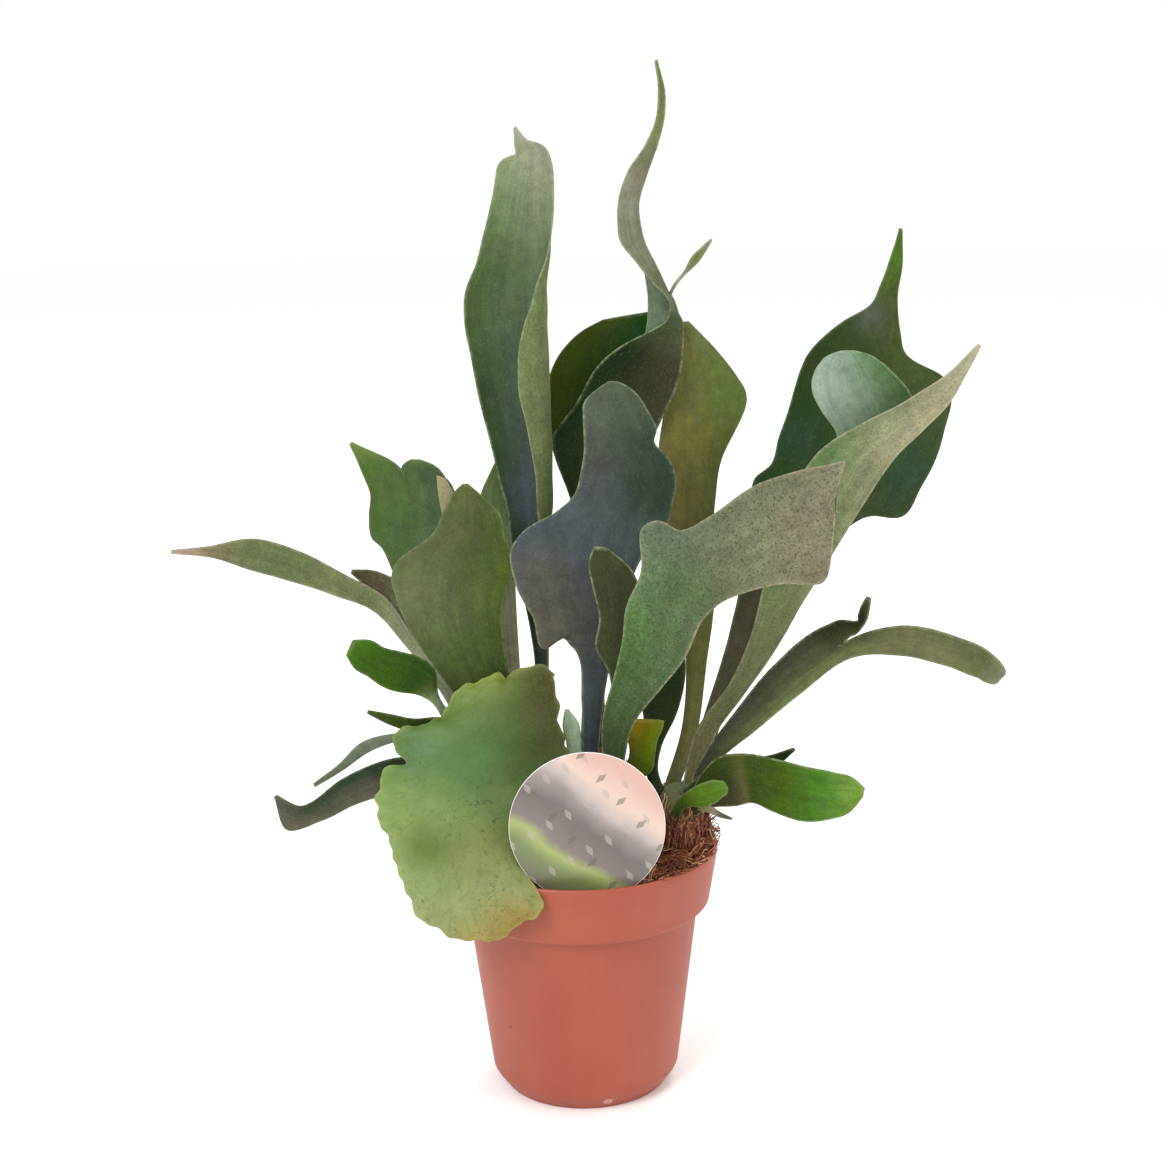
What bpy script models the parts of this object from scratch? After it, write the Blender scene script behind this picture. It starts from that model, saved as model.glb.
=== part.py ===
"""Staghorn fern in a 12 cm nursery pot.

Metres, +Z up. The origin is the centre of the pot's flat underside, +X is the
right-hand side of the plant and -Y its front.
The pot is a turned shell. The substrate fills it and is heaped above the rim.
Three rhizomes sit in hollows of the substrate and hold the fronds in sockets.
A round card stands on a stake just inside the front of the rim.
"""
import math

import bpy
import numpy as np

MM = 0.001
GAP = 0.35                     # clearance round everything that stands in a hole, mm
BLADE = 0.9                    # thickness of a frond's blade, mm
STALK = 3.0                    # thickness of a stalk where it enters its socket, mm
TAPER = 70.0                   # length over which a stalk thins to its blade, mm
EYE = np.array((3.3, -837.0, 417.0))   # the point in front that the fronds lean to and from, mm

for old in list(bpy.data.objects):
    bpy.data.objects.remove(old, do_unlink=True)

plant = bpy.data.collections.new("staghorn_fern")
cutters = bpy.data.collections.new("cutters")
bpy.context.scene.collection.children.link(plant)
bpy.context.scene.collection.children.link(cutters)


def material(name, rgb, roughness):
    made = bpy.data.materials.new(name)
    made.use_nodes = True
    shader = made.node_tree.nodes["Principled BSDF"]
    shader.inputs["Base Color"].default_value = (*rgb, 1)
    shader.inputs["Roughness"].default_value = roughness
    return made


terracotta_plastic = material("terracotta polypropylene", (0.48, 0.13, 0.07), 0.55)
coir = material("coir and bark", (0.09, 0.05, 0.03), 0.95)
rhizome_scale = material("rhizome scales", (0.12, 0.07, 0.03), 0.9)
leaf = material("fern leaf", (0.10, 0.17, 0.07), 0.6)
shield_leaf = material("shield leaf", (0.27, 0.38, 0.12), 0.6)
card = material("printed plastic card", (0.62, 0.45, 0.42), 0.35)


def new_object(name, points, faces, surface, home=plant, smooth=True):
    mesh = bpy.data.meshes.new(name)
    mesh.from_pydata([tuple(float(c) * MM for c in p) for p in points], [], faces)
    mesh.validate()
    mesh.polygons.foreach_set("use_smooth", [smooth] * len(mesh.polygons))
    made = bpy.data.objects.new(name, mesh)
    if surface:
        mesh.materials.append(surface)
    home.objects.link(made)
    return made


def cut(target, cutter, how="EXACT"):
    cutter.hide_render = True
    cutter.display_type = "WIRE"
    boolean = target.modifiers.new("cut " + cutter.name, "BOOLEAN")
    boolean.operation = "DIFFERENCE"
    boolean.solver = how
    boolean.object = cutter


def turned(name, profile, surface, sides):
    """Turns a profile of (radius, height) in mm round the Z axis."""
    mesh = bpy.data.meshes.new(name)
    points = [(r * MM, 0, z * MM) for r, z in profile]
    mesh.from_pydata(points, [(i, i + 1) for i in range(len(points) - 1)], [])
    mesh.materials.append(surface)
    made = bpy.data.objects.new(name, mesh)
    plant.objects.link(made)
    screw = made.modifiers.new("turn", "SCREW")
    screw.axis = "Z"
    screw.steps = sides
    screw.render_steps = sides
    screw.use_merge_vertices = True
    screw.merge_threshold = 0.00001
    screw.use_smooth_shade = True
    return made


# Pot: a 12 cm injection-moulded nursery pot with a stepped-out collar
POT_HEIGHT = 110.5
RIM_RADIUS = 60.0
COLLAR_BOTTOM_Z = 84.3
COLLAR_BOTTOM_RADIUS = 56.1
BODY_TOP_RADIUS = 51.1
BODY_BOTTOM_Z = 7.2
BODY_BOTTOM_RADIUS = 41.6
FOOT_RADIUS = 36.0
WALL = 1.6
FLOOR = 2.2
LIP = 0.8

pot = turned("pot", [
    (0, FLOOR),
    (FOOT_RADIUS - 2.0, FLOOR),
    (BODY_BOTTOM_RADIUS - WALL, BODY_BOTTOM_Z + 0.6),
    (BODY_TOP_RADIUS - WALL, COLLAR_BOTTOM_Z + 0.6),
    (COLLAR_BOTTOM_RADIUS - WALL, COLLAR_BOTTOM_Z + 2.4),
    (RIM_RADIUS - WALL - 0.1, POT_HEIGHT - LIP),
    (RIM_RADIUS - WALL + 0.4, POT_HEIGHT),
    (RIM_RADIUS - 0.5, POT_HEIGHT),
    (RIM_RADIUS, POT_HEIGHT - LIP),
    (RIM_RADIUS - 0.1, POT_HEIGHT - 3.0),
    (COLLAR_BOTTOM_RADIUS + 0.1, COLLAR_BOTTOM_Z + 1.2),
    (COLLAR_BOTTOM_RADIUS - 0.9, COLLAR_BOTTOM_Z),
    (BODY_TOP_RADIUS + 0.5, COLLAR_BOTTOM_Z - 0.6),
    (BODY_TOP_RADIUS - 0.1, COLLAR_BOTTOM_Z - 2.0),
    (BODY_BOTTOM_RADIUS, BODY_BOTTOM_Z + 1.0),
    (BODY_BOTTOM_RADIUS - 0.8, BODY_BOTTOM_Z - 0.6),
    (FOOT_RADIUS, 0),
    (0, 0),
], terracotta_plastic, 64)

DRAIN_RADIUS = 3.5
DRAIN_CIRCLE = 26.0
for number in range(4):
    turn = math.radians(45 + 90 * number)
    ring = [(DRAIN_CIRCLE * math.cos(turn) + DRAIN_RADIUS * math.cos(math.tau * k / 12),
             DRAIN_CIRCLE * math.sin(turn) + DRAIN_RADIUS * math.sin(math.tau * k / 12))
            for k in range(12)]
    walls = [(k, (k + 1) % 12, 12 + (k + 1) % 12, 12 + k) for k in range(12)]
    drain = new_object(
        f"drain_cutter_{number}",
        [(x, y, -2) for x, y in ring] + [(x, y, FLOOR + 2) for x, y in ring],
        walls + [tuple(range(11, -1, -1)), tuple(range(12, 24))], None, cutters)
    cut(pot, drain)

# Substrate: coir and bark up to the wall, heaped towards the right-hand crown
SOIL_SIDES = 40
SOIL_EDGE_RADIUS = 57.2
SOIL_EDGE_Z = 105.0
soil_wall = [(33.4, FLOOR + GAP), (39.4, BODY_BOTTOM_Z + 1.2), (48.9, COLLAR_BOTTOM_Z + 1.0),
             (53.9, COLLAR_BOTTOM_Z + 2.9), (56.6, SOIL_EDGE_Z - 4)]


def soil_height(x, y):
    across = math.hypot(x, y) / SOIL_EDGE_RADIUS
    heap = 8.5 * math.exp(-((x - 47) ** 2 + (y + 6) ** 2) / (2 * 11.0 ** 2))
    crumbs = 0.7 * math.sin(x / 4.1 + 1) * math.sin(y / 3.7) + 0.4 * math.sin(x / 2.3 - y / 2.9)
    return SOIL_EDGE_Z + 7.0 * (1 - across ** 2) + heap + crumbs


def soil_ring(radius):
    return [(radius * math.cos(math.tau * k / SOIL_SIDES), radius * math.sin(math.tau * k / SOIL_SIDES))
            for k in range(SOIL_SIDES)]


points = [(0, 0, FLOOR + GAP)]
for radius, height in soil_wall:
    points += [(x, y, height) for x, y in soil_ring(radius)]
for radius in (57.2, 50, 42, 34, 26, 18, 9):
    points += [(x, y, soil_height(x, y)) for x, y in soil_ring(radius)]
points.append((0, 0, soil_height(0, 0)))
rings = (len(points) - 2) // SOIL_SIDES
faces = []
for k in range(SOIL_SIDES):
    after = (k + 1) % SOIL_SIDES
    faces.append((0, 1 + after, 1 + k))
    for ring in range(rings - 1):
        low = 1 + ring * SOIL_SIDES
        high = low + SOIL_SIDES
        faces.append((low + k, low + after, high + after))
        faces.append((low + k, high + after, high + k))
    top = 1 + (rings - 1) * SOIL_SIDES
    faces.append((top + k, top + after, len(points) - 1))
substrate = new_object("substrate", points, faces, coir)

# Rhizomes: three rounded rootstocks, half sunk in hollows of the substrate
BLUNT = 2.6                    # 2 is an ellipsoid, larger is more like a cushion
RHIZOMES = {
    "rhizome_left": ((-33, -4, 122), (21, 21, 34)),
    "rhizome_centre": ((8, -1, 118), (17, 19, 32)),
    "rhizome_right": ((43.5, -4, 117), (11.5, 16.5, 20)),
}


def cushion(name, centre, radii, surface, home, around=24, up=12):
    points = [(centre[0], centre[1], centre[2] - radii[2])]
    for level in range(1, up):
        rise = -math.pi / 2 + math.pi * level / up
        level_z = math.copysign(abs(math.sin(rise)) ** (2 / BLUNT), math.sin(rise))
        width = math.cos(rise) ** (2 / BLUNT)
        for k in range(around):
            turn = math.tau * k / around
            lump = 1 + 0.03 * math.sin(3 * turn + level) * math.cos(rise)
            if home is cutters:
                lump += 0.0001
            points.append((centre[0] + radii[0] * width * lump * math.cos(turn),
                           centre[1] + radii[1] * width * lump * math.sin(turn),
                           centre[2] + radii[2] * level_z))
    points.append((centre[0], centre[1], centre[2] + radii[2]))
    faces = []
    for k in range(around):
        after = (k + 1) % around
        faces.append((0, 1 + after, 1 + k))
        for level in range(up - 2):
            low = 1 + level * around
            high = low + around
            faces.append((low + k, low + after, high + after))
            faces.append((low + k, high + after, high + k))
        top = 1 + (up - 2) * around
        faces.append((top + k, top + after, len(points) - 1))
    return new_object(name, points, faces, surface, home)


rhizomes = {}
for name, (centre, radii) in RHIZOMES.items():
    rhizomes[name] = cushion(name, centre, radii, rhizome_scale, plant)
    hollow = cushion(name + "_hollow", centre, [r + GAP for r in radii], None, cutters)
    cut(substrate, hollow)


# Fronds. Each is a strip of rows along a spine, all in mm, drawn nearly upright.
# turn is then how far it goes back for each mm to the right, and lean how far back at its tip;
# both slide its points along lines to the eye, so its outline seen from there stays the same.
# stem() gives a row by its middle and its two half widths, rib() by its two margins.
def stem(at, wide, face=None, curl=None, lag=None):
    return dict(at=np.array(at, float), wide=wide, face=face, curl=curl, lag=lag)


def rib(left, right, bow=0.0, dip=0.0):
    left = np.array(left, float)
    right = np.array(right, float)
    return dict(at=(left + right) / 2, half=(right - left) / 2, bow=bow, dip=dip)


def unit(v):
    return v / max(float(np.linalg.norm(v)), 1e-12)


def arc(turn, reach):
    """Out and up, in widths, of a margin that bends through turn as it goes out."""
    if reach == 0:
        return 0.0, 0.0
    middles = (np.arange(24) + 0.5) / 24 * reach
    angles = turn * middles ** 1.5
    return float(np.cos(angles).mean() * reach), float(np.sin(angles).mean() * reach)


def row_points(knot, along, state, columns):
    across = np.linspace(-1, 1, columns + 1)
    face = np.array(state["face"], float)
    normal = unit(face - np.dot(face, along) * along)
    if "half" in knot:
        bowed = unit(np.cross(knot["half"], along))
        if np.dot(bowed, normal) < 0:
            bowed = -bowed
        middle = (1 - across ** 2)[:, None]
        return (knot["at"] + across[:, None] * knot["half"]
                - middle * knot["bow"] * bowed - middle * knot["dip"] * along)
    sideways = np.cross(along, normal)
    out = []
    for a in across:
        side = 0 if a < 0 else 1
        reach, rise = arc(math.radians(state["curl"][side]), abs(a))
        width = knot["wide"][side]
        out.append(knot["at"] + math.copysign(reach * width, a) * sideways + rise * width * normal
                   - state["lag"][side] * abs(a) ** 1.6 * along)
    return np.array(out)


def smooth_rows(stations, rows, wanted):
    """Cubic curves through the rows, column by column."""
    spans = np.diff(stations)[:, None, None]
    slopes = np.diff(rows, axis=0) / spans
    inner = (slopes[:-1] * spans[1:] + slopes[1:] * spans[:-1]) / (spans[1:] + spans[:-1])
    tangents = np.concatenate([slopes[:1], inner, slopes[-1:]])
    out = []
    for s in wanted:
        i = min(int(np.searchsorted(stations, s, side="right")) - 1, len(stations) - 2)
        span = stations[i + 1] - stations[i]
        t = (s - stations[i]) / span
        out.append((2 * t ** 3 - 3 * t ** 2 + 1) * rows[i] + (t ** 3 - 2 * t ** 2 + t) * span * tangents[i]
                   + (3 * t ** 2 - 2 * t ** 3) * rows[i + 1] + (t ** 3 - t ** 2) * span * tangents[i + 1])
    return np.array(out)


def strip(knots, steps, columns, state, first_row=None, blunt=False):
    at = np.array([k["at"] for k in knots])
    rows = []
    for i, knot in enumerate(knots):
        along = unit(at[min(i + 1, len(at) - 1)] - at[max(i - 1, 0)])
        for key in ("face", "curl"):
            if knot.get(key) is not None:
                state[key] = knot[key]
        state["lag"] = knot.get("lag") or (0, 0)
        rows.append(row_points(knot, along, state, columns))
    if first_row is not None:
        rows[0] = first_row
    rows = np.array(rows)
    lengths = np.linalg.norm(np.diff(at, axis=0), axis=1)
    stations = np.concatenate([[0], np.cumsum(lengths)])
    wanted = np.concatenate([stations[i] + np.arange(steps) / steps * lengths[i] for i in range(len(lengths))]
                            + [stations[-1:]])
    grid = smooth_rows(stations, rows, wanted)
    if blunt:
        for i, s in enumerate(wanted):
            t = (s - stations[-2]) / lengths[-1]
            if t > 0:
                bulge = math.sqrt(max(1 - t * t, 0))
                line = rows[-1] + (rows[-2] - rows[-1]) * bulge
                grid[i] = line - line.mean(0) + rows[-1].mean(0) * t + rows[-2].mean(0) * (1 - t)
    return grid, wanted


def frond_surface(frond, columns=4):
    """Points, triangles and distance from the base of a frond and its lobes."""
    points, distances, triangles = [], [], []
    steps = frond.get("steps", 1)

    def grow(part, from_row, columns, travelled, state):
        knots = list(part["knots"])
        first_row = None
        if from_row is not None:
            first_row = np.array([points[j] for j in from_row])
            knots = [rib(first_row[0], first_row[-1])] + knots
        grid, wanted = strip(knots, steps, columns, state, first_row, part.get("blunt", False))
        index = []
        for i, line in enumerate(grid):
            if i == 0 and from_row is not None:
                index.append(list(from_row))
                continue
            index.append(list(range(len(points), len(points) + columns + 1)))
            points.extend(line)
            distances.extend([travelled + wanted[i]] * (columns + 1))
        for i in range(len(index) - 1):
            for j in range(columns):
                a, b = index[i][j], index[i][j + 1]
                c, d = index[i + 1][j + 1], index[i + 1][j]
                triangles.append((a, b, c))
                triangles.append((a, c, d))
        for start, end, lobe in part.get("lobes", ()):
            first, last = round(start * columns), round(end * columns)
            grow(lobe, index[-1][first:last + 1], last - first, travelled + wanted[-1],
                 dict(face=state["face"], curl=(0, 0), lag=(0, 0)))

    grow(frond, None, columns, 0.0, dict(face=(0, -1, 0), curl=(0, 0), lag=(0, 0)))
    points, distances = np.array(points), np.array(distances)
    height = distances / distances.max()
    back = (frond.get("lean", 0) * height ** 1.6
            + frond.get("turn", 0) * (points[:, 0] - frond["knots"][0]["at"][0]))
    points += (points - EYE) * (back / (points[:, 1] - EYE[1]))[:, None]
    return points, triangles, distances


def thickness_at(distance, stalk):
    return BLADE + (stalk - BLADE) * max(0.0, 1 - distance / TAPER)


def make_frond(name, frond, surface=leaf, stalk=STALK):
    points, triangles, distances = frond_surface(frond)
    made = new_object(name, points, triangles, surface)
    group = made.vertex_groups.new(name="thickness")
    for i, distance in enumerate(distances):
        group.add([i], thickness_at(distance, stalk) / STALK, "REPLACE")
    solid = made.modifiers.new("thickness", "SOLIDIFY")
    solid.thickness = STALK * MM
    solid.offset = 0
    solid.vertex_group = "thickness"
    solid.use_quality_normals = True
    return made


def socket(name, frond, into, stalk=STALK, length=16.0):
    """Cuts the hole that the foot of a frond stands in."""
    points, _, distances = frond_surface(frond)
    near, far = points[0:5], points[5:10]
    t = min(length / distances[5], 1.0)
    along = unit(far[2] - near[2])
    corners = []
    for left, middle, right, thick in (
            (near[0], near[2], near[4], stalk),
            (near[0] * (1 - t) + far[0] * t, near[2] * (1 - t) + far[2] * t,
             near[4] * (1 - t) + far[4] * t, thickness_at(distances[5] * t, stalk))):
        across = unit(right - left)
        normal = unit(np.cross(across, along))
        lift = normal * (thick / 2 + GAP)
        corners += [left - across * GAP - lift, right + across * GAP - lift,
                    right + across * GAP + lift, left - across * GAP + lift]
    corners = [c - along * GAP for c in corners[:4]] + corners[4:]
    faces = [(3, 2, 1, 0), (4, 5, 6, 7), (0, 1, 5, 4), (1, 2, 6, 5), (2, 3, 7, 6), (3, 0, 4, 7)]
    sides = np.array(corners)
    if np.dot(np.cross(sides[1] - sides[0], sides[3] - sides[0]), along) < 0:
        faces = [tuple(reversed(f)) for f in faces]
    cut(into, new_object(name + "_socket", corners, faces, None, cutters))


FRONDS = {}

# The tall frond at the left, its right-hand margin folded over towards the front
FRONDS["tall_left_frond"] = ("rhizome_left", dict(turn=-0.3, lean=25, knots=[
    stem((-18, 4, 141), (3, 3)), stem((-16, 9, 196), (3.2, 3.2)),
    stem((-19, 11, 222), (5, 6), curl=(10, 40)),
    stem((-22, 12, 244), (8, 12), curl=(15, 90)), stem((-21, 14, 261), (10, 18), curl=(20, 150)),
    stem((-22, 16, 287), (12, 25), curl=(20, 180)), stem((-25, 18, 326), (16, 30), curl=(20, 185)),
    stem((-26, 18, 347), (18, 26), curl=(20, 160)), stem((-21, 16, 372), (15, 16), curl=(10, 80)),
    stem((-18, 14, 397), (12, 12), curl=(0, 30)), rib((-27.5, 12, 405), (-8, 13, 409), 1, -3)],
    lobes=[(0.25, 0.5, dict(knots=[stem((-21, 12, 417), (0.6, 0.6))])),
           (0.5, 1, dict(knots=[stem((-12, 12, 413.5), (3, 2.5))]))]))

# The tallest frond: a wide blade that narrows to a ribbon with half a turn in it
FRONDS["twisted_frond"] = ("rhizome_centre", dict(turn=0.3, lean=15, knots=[
    stem((8, 12, 140), (3, 3)), stem((8, 27, 210), (4, 4)), rib((-2, 30, 259), (14, 30, 257)),
    rib((-9, 31, 280), (26, 31, 272), 1), rib((-8, 32, 288), (36, 31, 288), 2),
    rib((1, 32, 300), (41, 31, 297), 2),
    rib((12, 31, 315), (46, 30, 309), 2), rib((24, 30, 324), (48, 29, 320), 1),
    rib((31, 30, 333), (48, 29, 333)),
    rib((32, 31, 343), (45, 27, 342))],
    lobes=[(0, 0.75, dict(knots=[
        rib((33, 31, 350), (41, 24, 348)), rib((36, 30, 358), (36, 21, 354)),
        rib((34, 27, 366), (27, 20, 364)),
        rib((31, 24, 375), (21, 21, 374)), rib((30, 22, 386), (21, 21, 387)),
        rib((33, 20, 398), (26, 19, 400)),
        rib((37.5, 19, 410), (33, 18, 410)), rib((40, 18, 421), (38, 18, 420)),
        rib((40.5, 19, 432), (38.5, 19, 432)),
        rib((38, 20, 444), (37, 20, 444))])),
           (0.75, 1, dict(knots=[
        stem((45, 26, 350), (0.7, 0.7)), stem((50, 25, 360), (0.7, 0.7)), stem((55, 25, 367), (1.6, 1.6)),
        stem((59, 25, 372), (0.6, 0.6))]))]))

FRONDS["back_centre_frond"] = ("rhizome_centre", dict(turn=0.2, lean=30, knots=[
    stem((0, 10, 138), (3, 3)), stem((1, 34, 205), (4, 4)), stem((4, 42, 256), (6, 6)),
    rib((-12, 46, 290), (24, 46, 292), -2), rib((-11, 48, 308), (30, 48, 310), -2),
    rib((-4, 48, 322), (33, 48, 324), -1), rib((6, 48, 331), (35, 48, 333)),
    rib((14, 48, 335), (34, 48, 338))]))

FRONDS["olive_right_frond"] = ("rhizome_right", dict(turn=0.4, lean=20, knots=[
    stem((39, 4, 130), (3, 3)), stem((47, 11, 157), (4.5, 4.5)), stem((52, 20, 187), (5, 5)),
    stem((55, 26, 212), (7, 6)), stem((54, 30, 248), (11, 7)), stem((56, 34, 275), (14, 9)),
    stem((59, 36, 298), (15, 18)), rib((46, 36, 312), (71, 36, 311), 1), rib((47, 36, 322), (63, 36, 322)),
    rib((48, 36, 329), (54, 36, 330)), rib((49, 36, 332), (50.5, 36, 333))]))

# The blue-grey frond in the middle, with one hanging lobe at its lower left
FRONDS["centre_frond"] = ("rhizome_centre", dict(turn=0.3, lean=-6, knots=[
    stem((4, -4, 145), (3, 3)), stem((6, -8, 177), (4.6, 4.6)), stem((7, -10, 197), (6.5, 7)),
    stem((7, -10, 206), (9, 8.5), lag=(2, 0)), stem((7, -11, 211), (20, 10), lag=(13, 0)),
    stem((7, -11, 222), (26, 13), lag=(7, 0)), stem((7, -11, 235), (32.5, 18), lag=(5, 0)),
    stem((7, -10, 246), (34, 24), lag=(3, 0)), rib((-22, -10, 252), (38, -8, 253), -1),
    rib((-8, -9, 260), (41, -7, 262), -2), rib((0, -8, 267), (42.5, -5, 271), -2),
    rib((3, -7, 277), (40, -4, 281), -1),
    rib((4.5, -5, 285), (34, -3, 288)), rib((4.5, -4, 293), (35, -3, 294)),
    rib((4.5, -3, 300), (31, -2, 302)),
    rib((5.5, -2, 306), (27, -1, 308)), rib((11, -1, 311), (22, 0, 312)),
    rib((15, 0, 313.5), (19, 0, 313.5))]))

FRONDS["small_front_frond"] = ("rhizome_centre", dict(turn=0.1, lean=-8, knots=[
    stem((10, -9, 144), (2.5, 2.5)), stem((10.5, -14, 172), (2.5, 2.5)), stem((13, -16, 187), (3, 3)),
    rib((7, -18, 203), (23, -18, 206)), rib((6, -19, 228), (26, -19, 226)),
    rib((5.5, -19, 241), (23, -19, 240)),
    rib((8, -18, 248), (13, -18, 247))]))

# The wide frond in front, its felted underside towards the viewer
FRONDS["felted_front_frond"] = ("rhizome_centre", dict(turn=-0.35, lean=-8, knots=[
    stem((14, -14, 137), (3, 3)), stem((17.5, -22, 174), (7, 7)), rib((15.5, -25, 193), (35, -28, 188), 1),
    rib((19, -31, 210), (45, -34, 203), 2), rib((21, -36, 226), (51, -38, 218), 2),
    rib((27, -38, 241), (57, -42, 226), 2),
    rib((27, -40, 258), (63, -44, 230), 2), rib((34, -42, 262), (70, -46, 233), 2),
    rib((43, -43, 258), (78, -46, 235), 2),
    rib((54, -43, 263), (85, -46, 236), 2), rib((72, -42, 276), (93, -44, 235), 2),
    rib((92, -40, 284), (102, -42, 237), 2),
    rib((105, -38, 287), (105, -40, 254), 1), rib((113, -36, 289), (106, -38, 270))]))

# The long frond at the right: one pointed lobe with a rolled margin, one round lobe turned over
FRONDS["long_right_frond"] = ("rhizome_right", dict(turn=0.1, lean=0, knots=[
    stem((47, -1, 131), (3, 3)), stem((55, 0, 159), (4, 4)), stem((69, 0, 179), (4, 4)),
    stem((80, -1, 199), (6, 6)),
    stem((90, -2, 223), (10, 9)), stem((103, -4, 249), (14, 12))],
    lobes=[(0.5, 1, dict(knots=[
        stem((118, -6, 271), (10, 11), curl=(120, 0)), stem((137, -8, 292), (10, 10), curl=(120, 0)),
        stem((155, -8, 310), (4, 4), curl=(0, 0)), stem((168, -8, 326), (0.8, 0.8))])),
           (0, 0.5, dict(knots=[
        stem((104, 6, 268), (7, 7), face=(-1, 0, 0)), rib((137, 4, 285), (110, 6, 288)),
        rib((143, 6, 300), (103, 8, 303)), rib((139, 6, 311), (101.5, 9, 313)),
        rib((132, 6, 319), (105, 9, 321)),
        rib((122, 7, 325), (114, 8, 325))]))]))

FRONDS["back_right_frond"] = ("rhizome_right", dict(turn=0.45, lean=10, knots=[
    stem((47, 7.5, 129), (3, 3)), stem((60, 17, 164), (3.5, 3.5)), stem((70, 24, 191), (4, 4)),
    stem((78, 34, 216), (5, 7)), rib((80, 40, 240), (98, 40, 224)), rib((80, 44, 262), (118, 46, 237), 2),
    rib((89, 48, 271), (134, 50, 244.5), 3), rib((91.5, 50, 280), (146, 52, 243), 4),
    rib((97.5, 54, 295), (157, 55, 257), 4), rib((102, 56, 310.5), (167, 58, 280), 4),
    rib((110.5, 58, 322.5), (167, 60, 305), 3), rib((122, 60, 331.5), (150.5, 62, 315), 2),
    rib((133, 62, 337.5), (147.5, 62, 325.5)), rib((138.5, 62, 347.5), (145.7, 62, 340.5)),
    rib((143, 62, 360), (147.5, 62, 355)), rib((146, 62, 371.5), (147.6, 62, 371))]))

# The frond that arches out low at the right, folded along its middle and forked
FRONDS["arching_right_frond"] = ("rhizome_right", dict(turn=-0.35, lean=0, steps=2, knots=[
    stem((48, -7, 131), (3, 3)), stem((58, -9, 151), (4, 3)), stem((72, -10, 166), (7, 5)),
    stem((91, -12, 184), (11, 6)), stem((112, -14, 201), (11, 7))],
    lobes=[(0.5, 1, dict(blunt=True, knots=[
        stem((138, -14, 203), (6, 7)), stem((159, -14, 198), (6, 7)), stem((174, -13, 190), (5, 5)),
        stem((181, -12, 184), (2, 1))])),
           (0, 0.5, dict(knots=[
        stem((118, -12, 211), (3, 3)), stem((122, -12, 219), (2, 2)), stem((126, -12, 224), (1, 1))]))]))

FRONDS["low_right_frond"] = ("rhizome_right", dict(turn=-0.3, lean=0, steps=2, blunt=True, knots=[
    stem((47, -15, 128), (3, 3)), stem((60, -17, 139), (9, 8)), stem((75, -20, 144), (11, 9)),
    stem((94, -24, 141), (10.5, 11.5)), stem((111, -26, 140), (9, 10)), stem((120, -27, 140), (2, 2))]))

FRONDS["low_right_shoot"] = ("rhizome_right", dict(turn=-0.2, lean=0, steps=2, blunt=True, knots=[
    stem((40, -17, 126), (2, 2)), stem((50, -23.5, 135), (3, 2.5)), stem((57, -26, 141), (3.5, 3)),
    stem((62, -27, 143.5), (1, 1))]))

FRONDS["low_right_back_frond"] = ("rhizome_right", dict(turn=-0.2, lean=0, steps=2, knots=[
    stem((41, -11, 131), (2.5, 2.5)), stem((60, -12.5, 145), (3, 3)), stem((75, -14, 148), (3.5, 3.5)),
    stem((84, -15, 151), (2.5, 2.5)), stem((92, -16, 156), (0.7, 0.7))]))

FRONDS["small_back_frond"] = ("rhizome_right", dict(turn=0, lean=5, steps=2, blunt=True, knots=[
    stem((36, -3, 129), (2.5, 2.5)), stem((36, 4, 151), (3, 3)), stem((36, 9, 167), (8, 7)),
    stem((41, 11, 191), (6.5, 6)), stem((43, 12, 204), (1, 1))]))

FRONDS["young_frond"] = ("rhizome_centre", dict(turn=0, lean=-4, steps=2, knots=[
    stem((19, -6, 139), (2.5, 2.5)), stem((26, -8, 152), (5, 5)), stem((27, -9, 161), (6, 6.5)),
    rib((21, -10, 170), (36, -10, 169), 1)]))

FRONDS["bud"] = ("rhizome_centre", dict(turn=0, lean=0, steps=2, knots=[
    stem((-4, -5, 140), (2.5, 2.5)), stem((-4.5, -5, 160), (3, 3)), stem((-6.5, -5, 169), (1, 1))]))

# The broad olive frond at the left and the ones behind and beside it
FRONDS["broad_left_frond"] = ("rhizome_left", dict(turn=-0.3, lean=-22, knots=[
    stem((-33, -4, 151), (3, 3)), rib((-50, -5, 172), (-32, -5, 172)),
    rib((-58.5, -5, 182), (-30, -5, 184), 1),
    rib((-69, -5, 195.5), (-31, -5, 198), 2), rib((-75, -5, 210.5), (-32, -5, 213), 3),
    rib((-78.5, -5, 225), (-30, -4, 225), 3), rib((-78.5, -5, 233), (-26.5, -4, 233), 3),
    rib((-75, -4, 240), (-27, -3, 241.5), 2), rib((-61, -3, 250), (-30, -2, 249), 1),
    rib((-56, -2, 259), (-32, -1, 258)), rib((-51, -1, 268), (-39, 0, 265.5)),
    rib((-47.5, 0, 271), (-45, 0, 271.3))]))

FRONDS["back_left_frond"] = ("rhizome_left", dict(turn=-0.5, lean=5, knots=[
    stem((-37, 7, 148), (3, 3)), stem((-56, 11, 196), (4, 4)), rib((-70, 14, 212), (-56, 14, 216)),
    rib((-79, 16, 228), (-56, 16, 226)), rib((-84.5, 17, 241), (-55, 17, 236)),
    rib((-88.5, 18, 245), (-54, 18, 246), 1),
    rib((-89, 19, 255), (-52, 19, 256), 1), rib((-89, 20, 265), (-53, 20, 266), 1),
    rib((-92, 20, 274), (-56, 20, 271), 1, -1)],
    lobes=[(0, 0.5, dict(knots=[stem((-95.5, 21, 284), (0.7, 0.7))])),
           (0.5, 1, dict(knots=[rib((-71, 20, 278), (-61, 20, 277))]))]))

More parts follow.
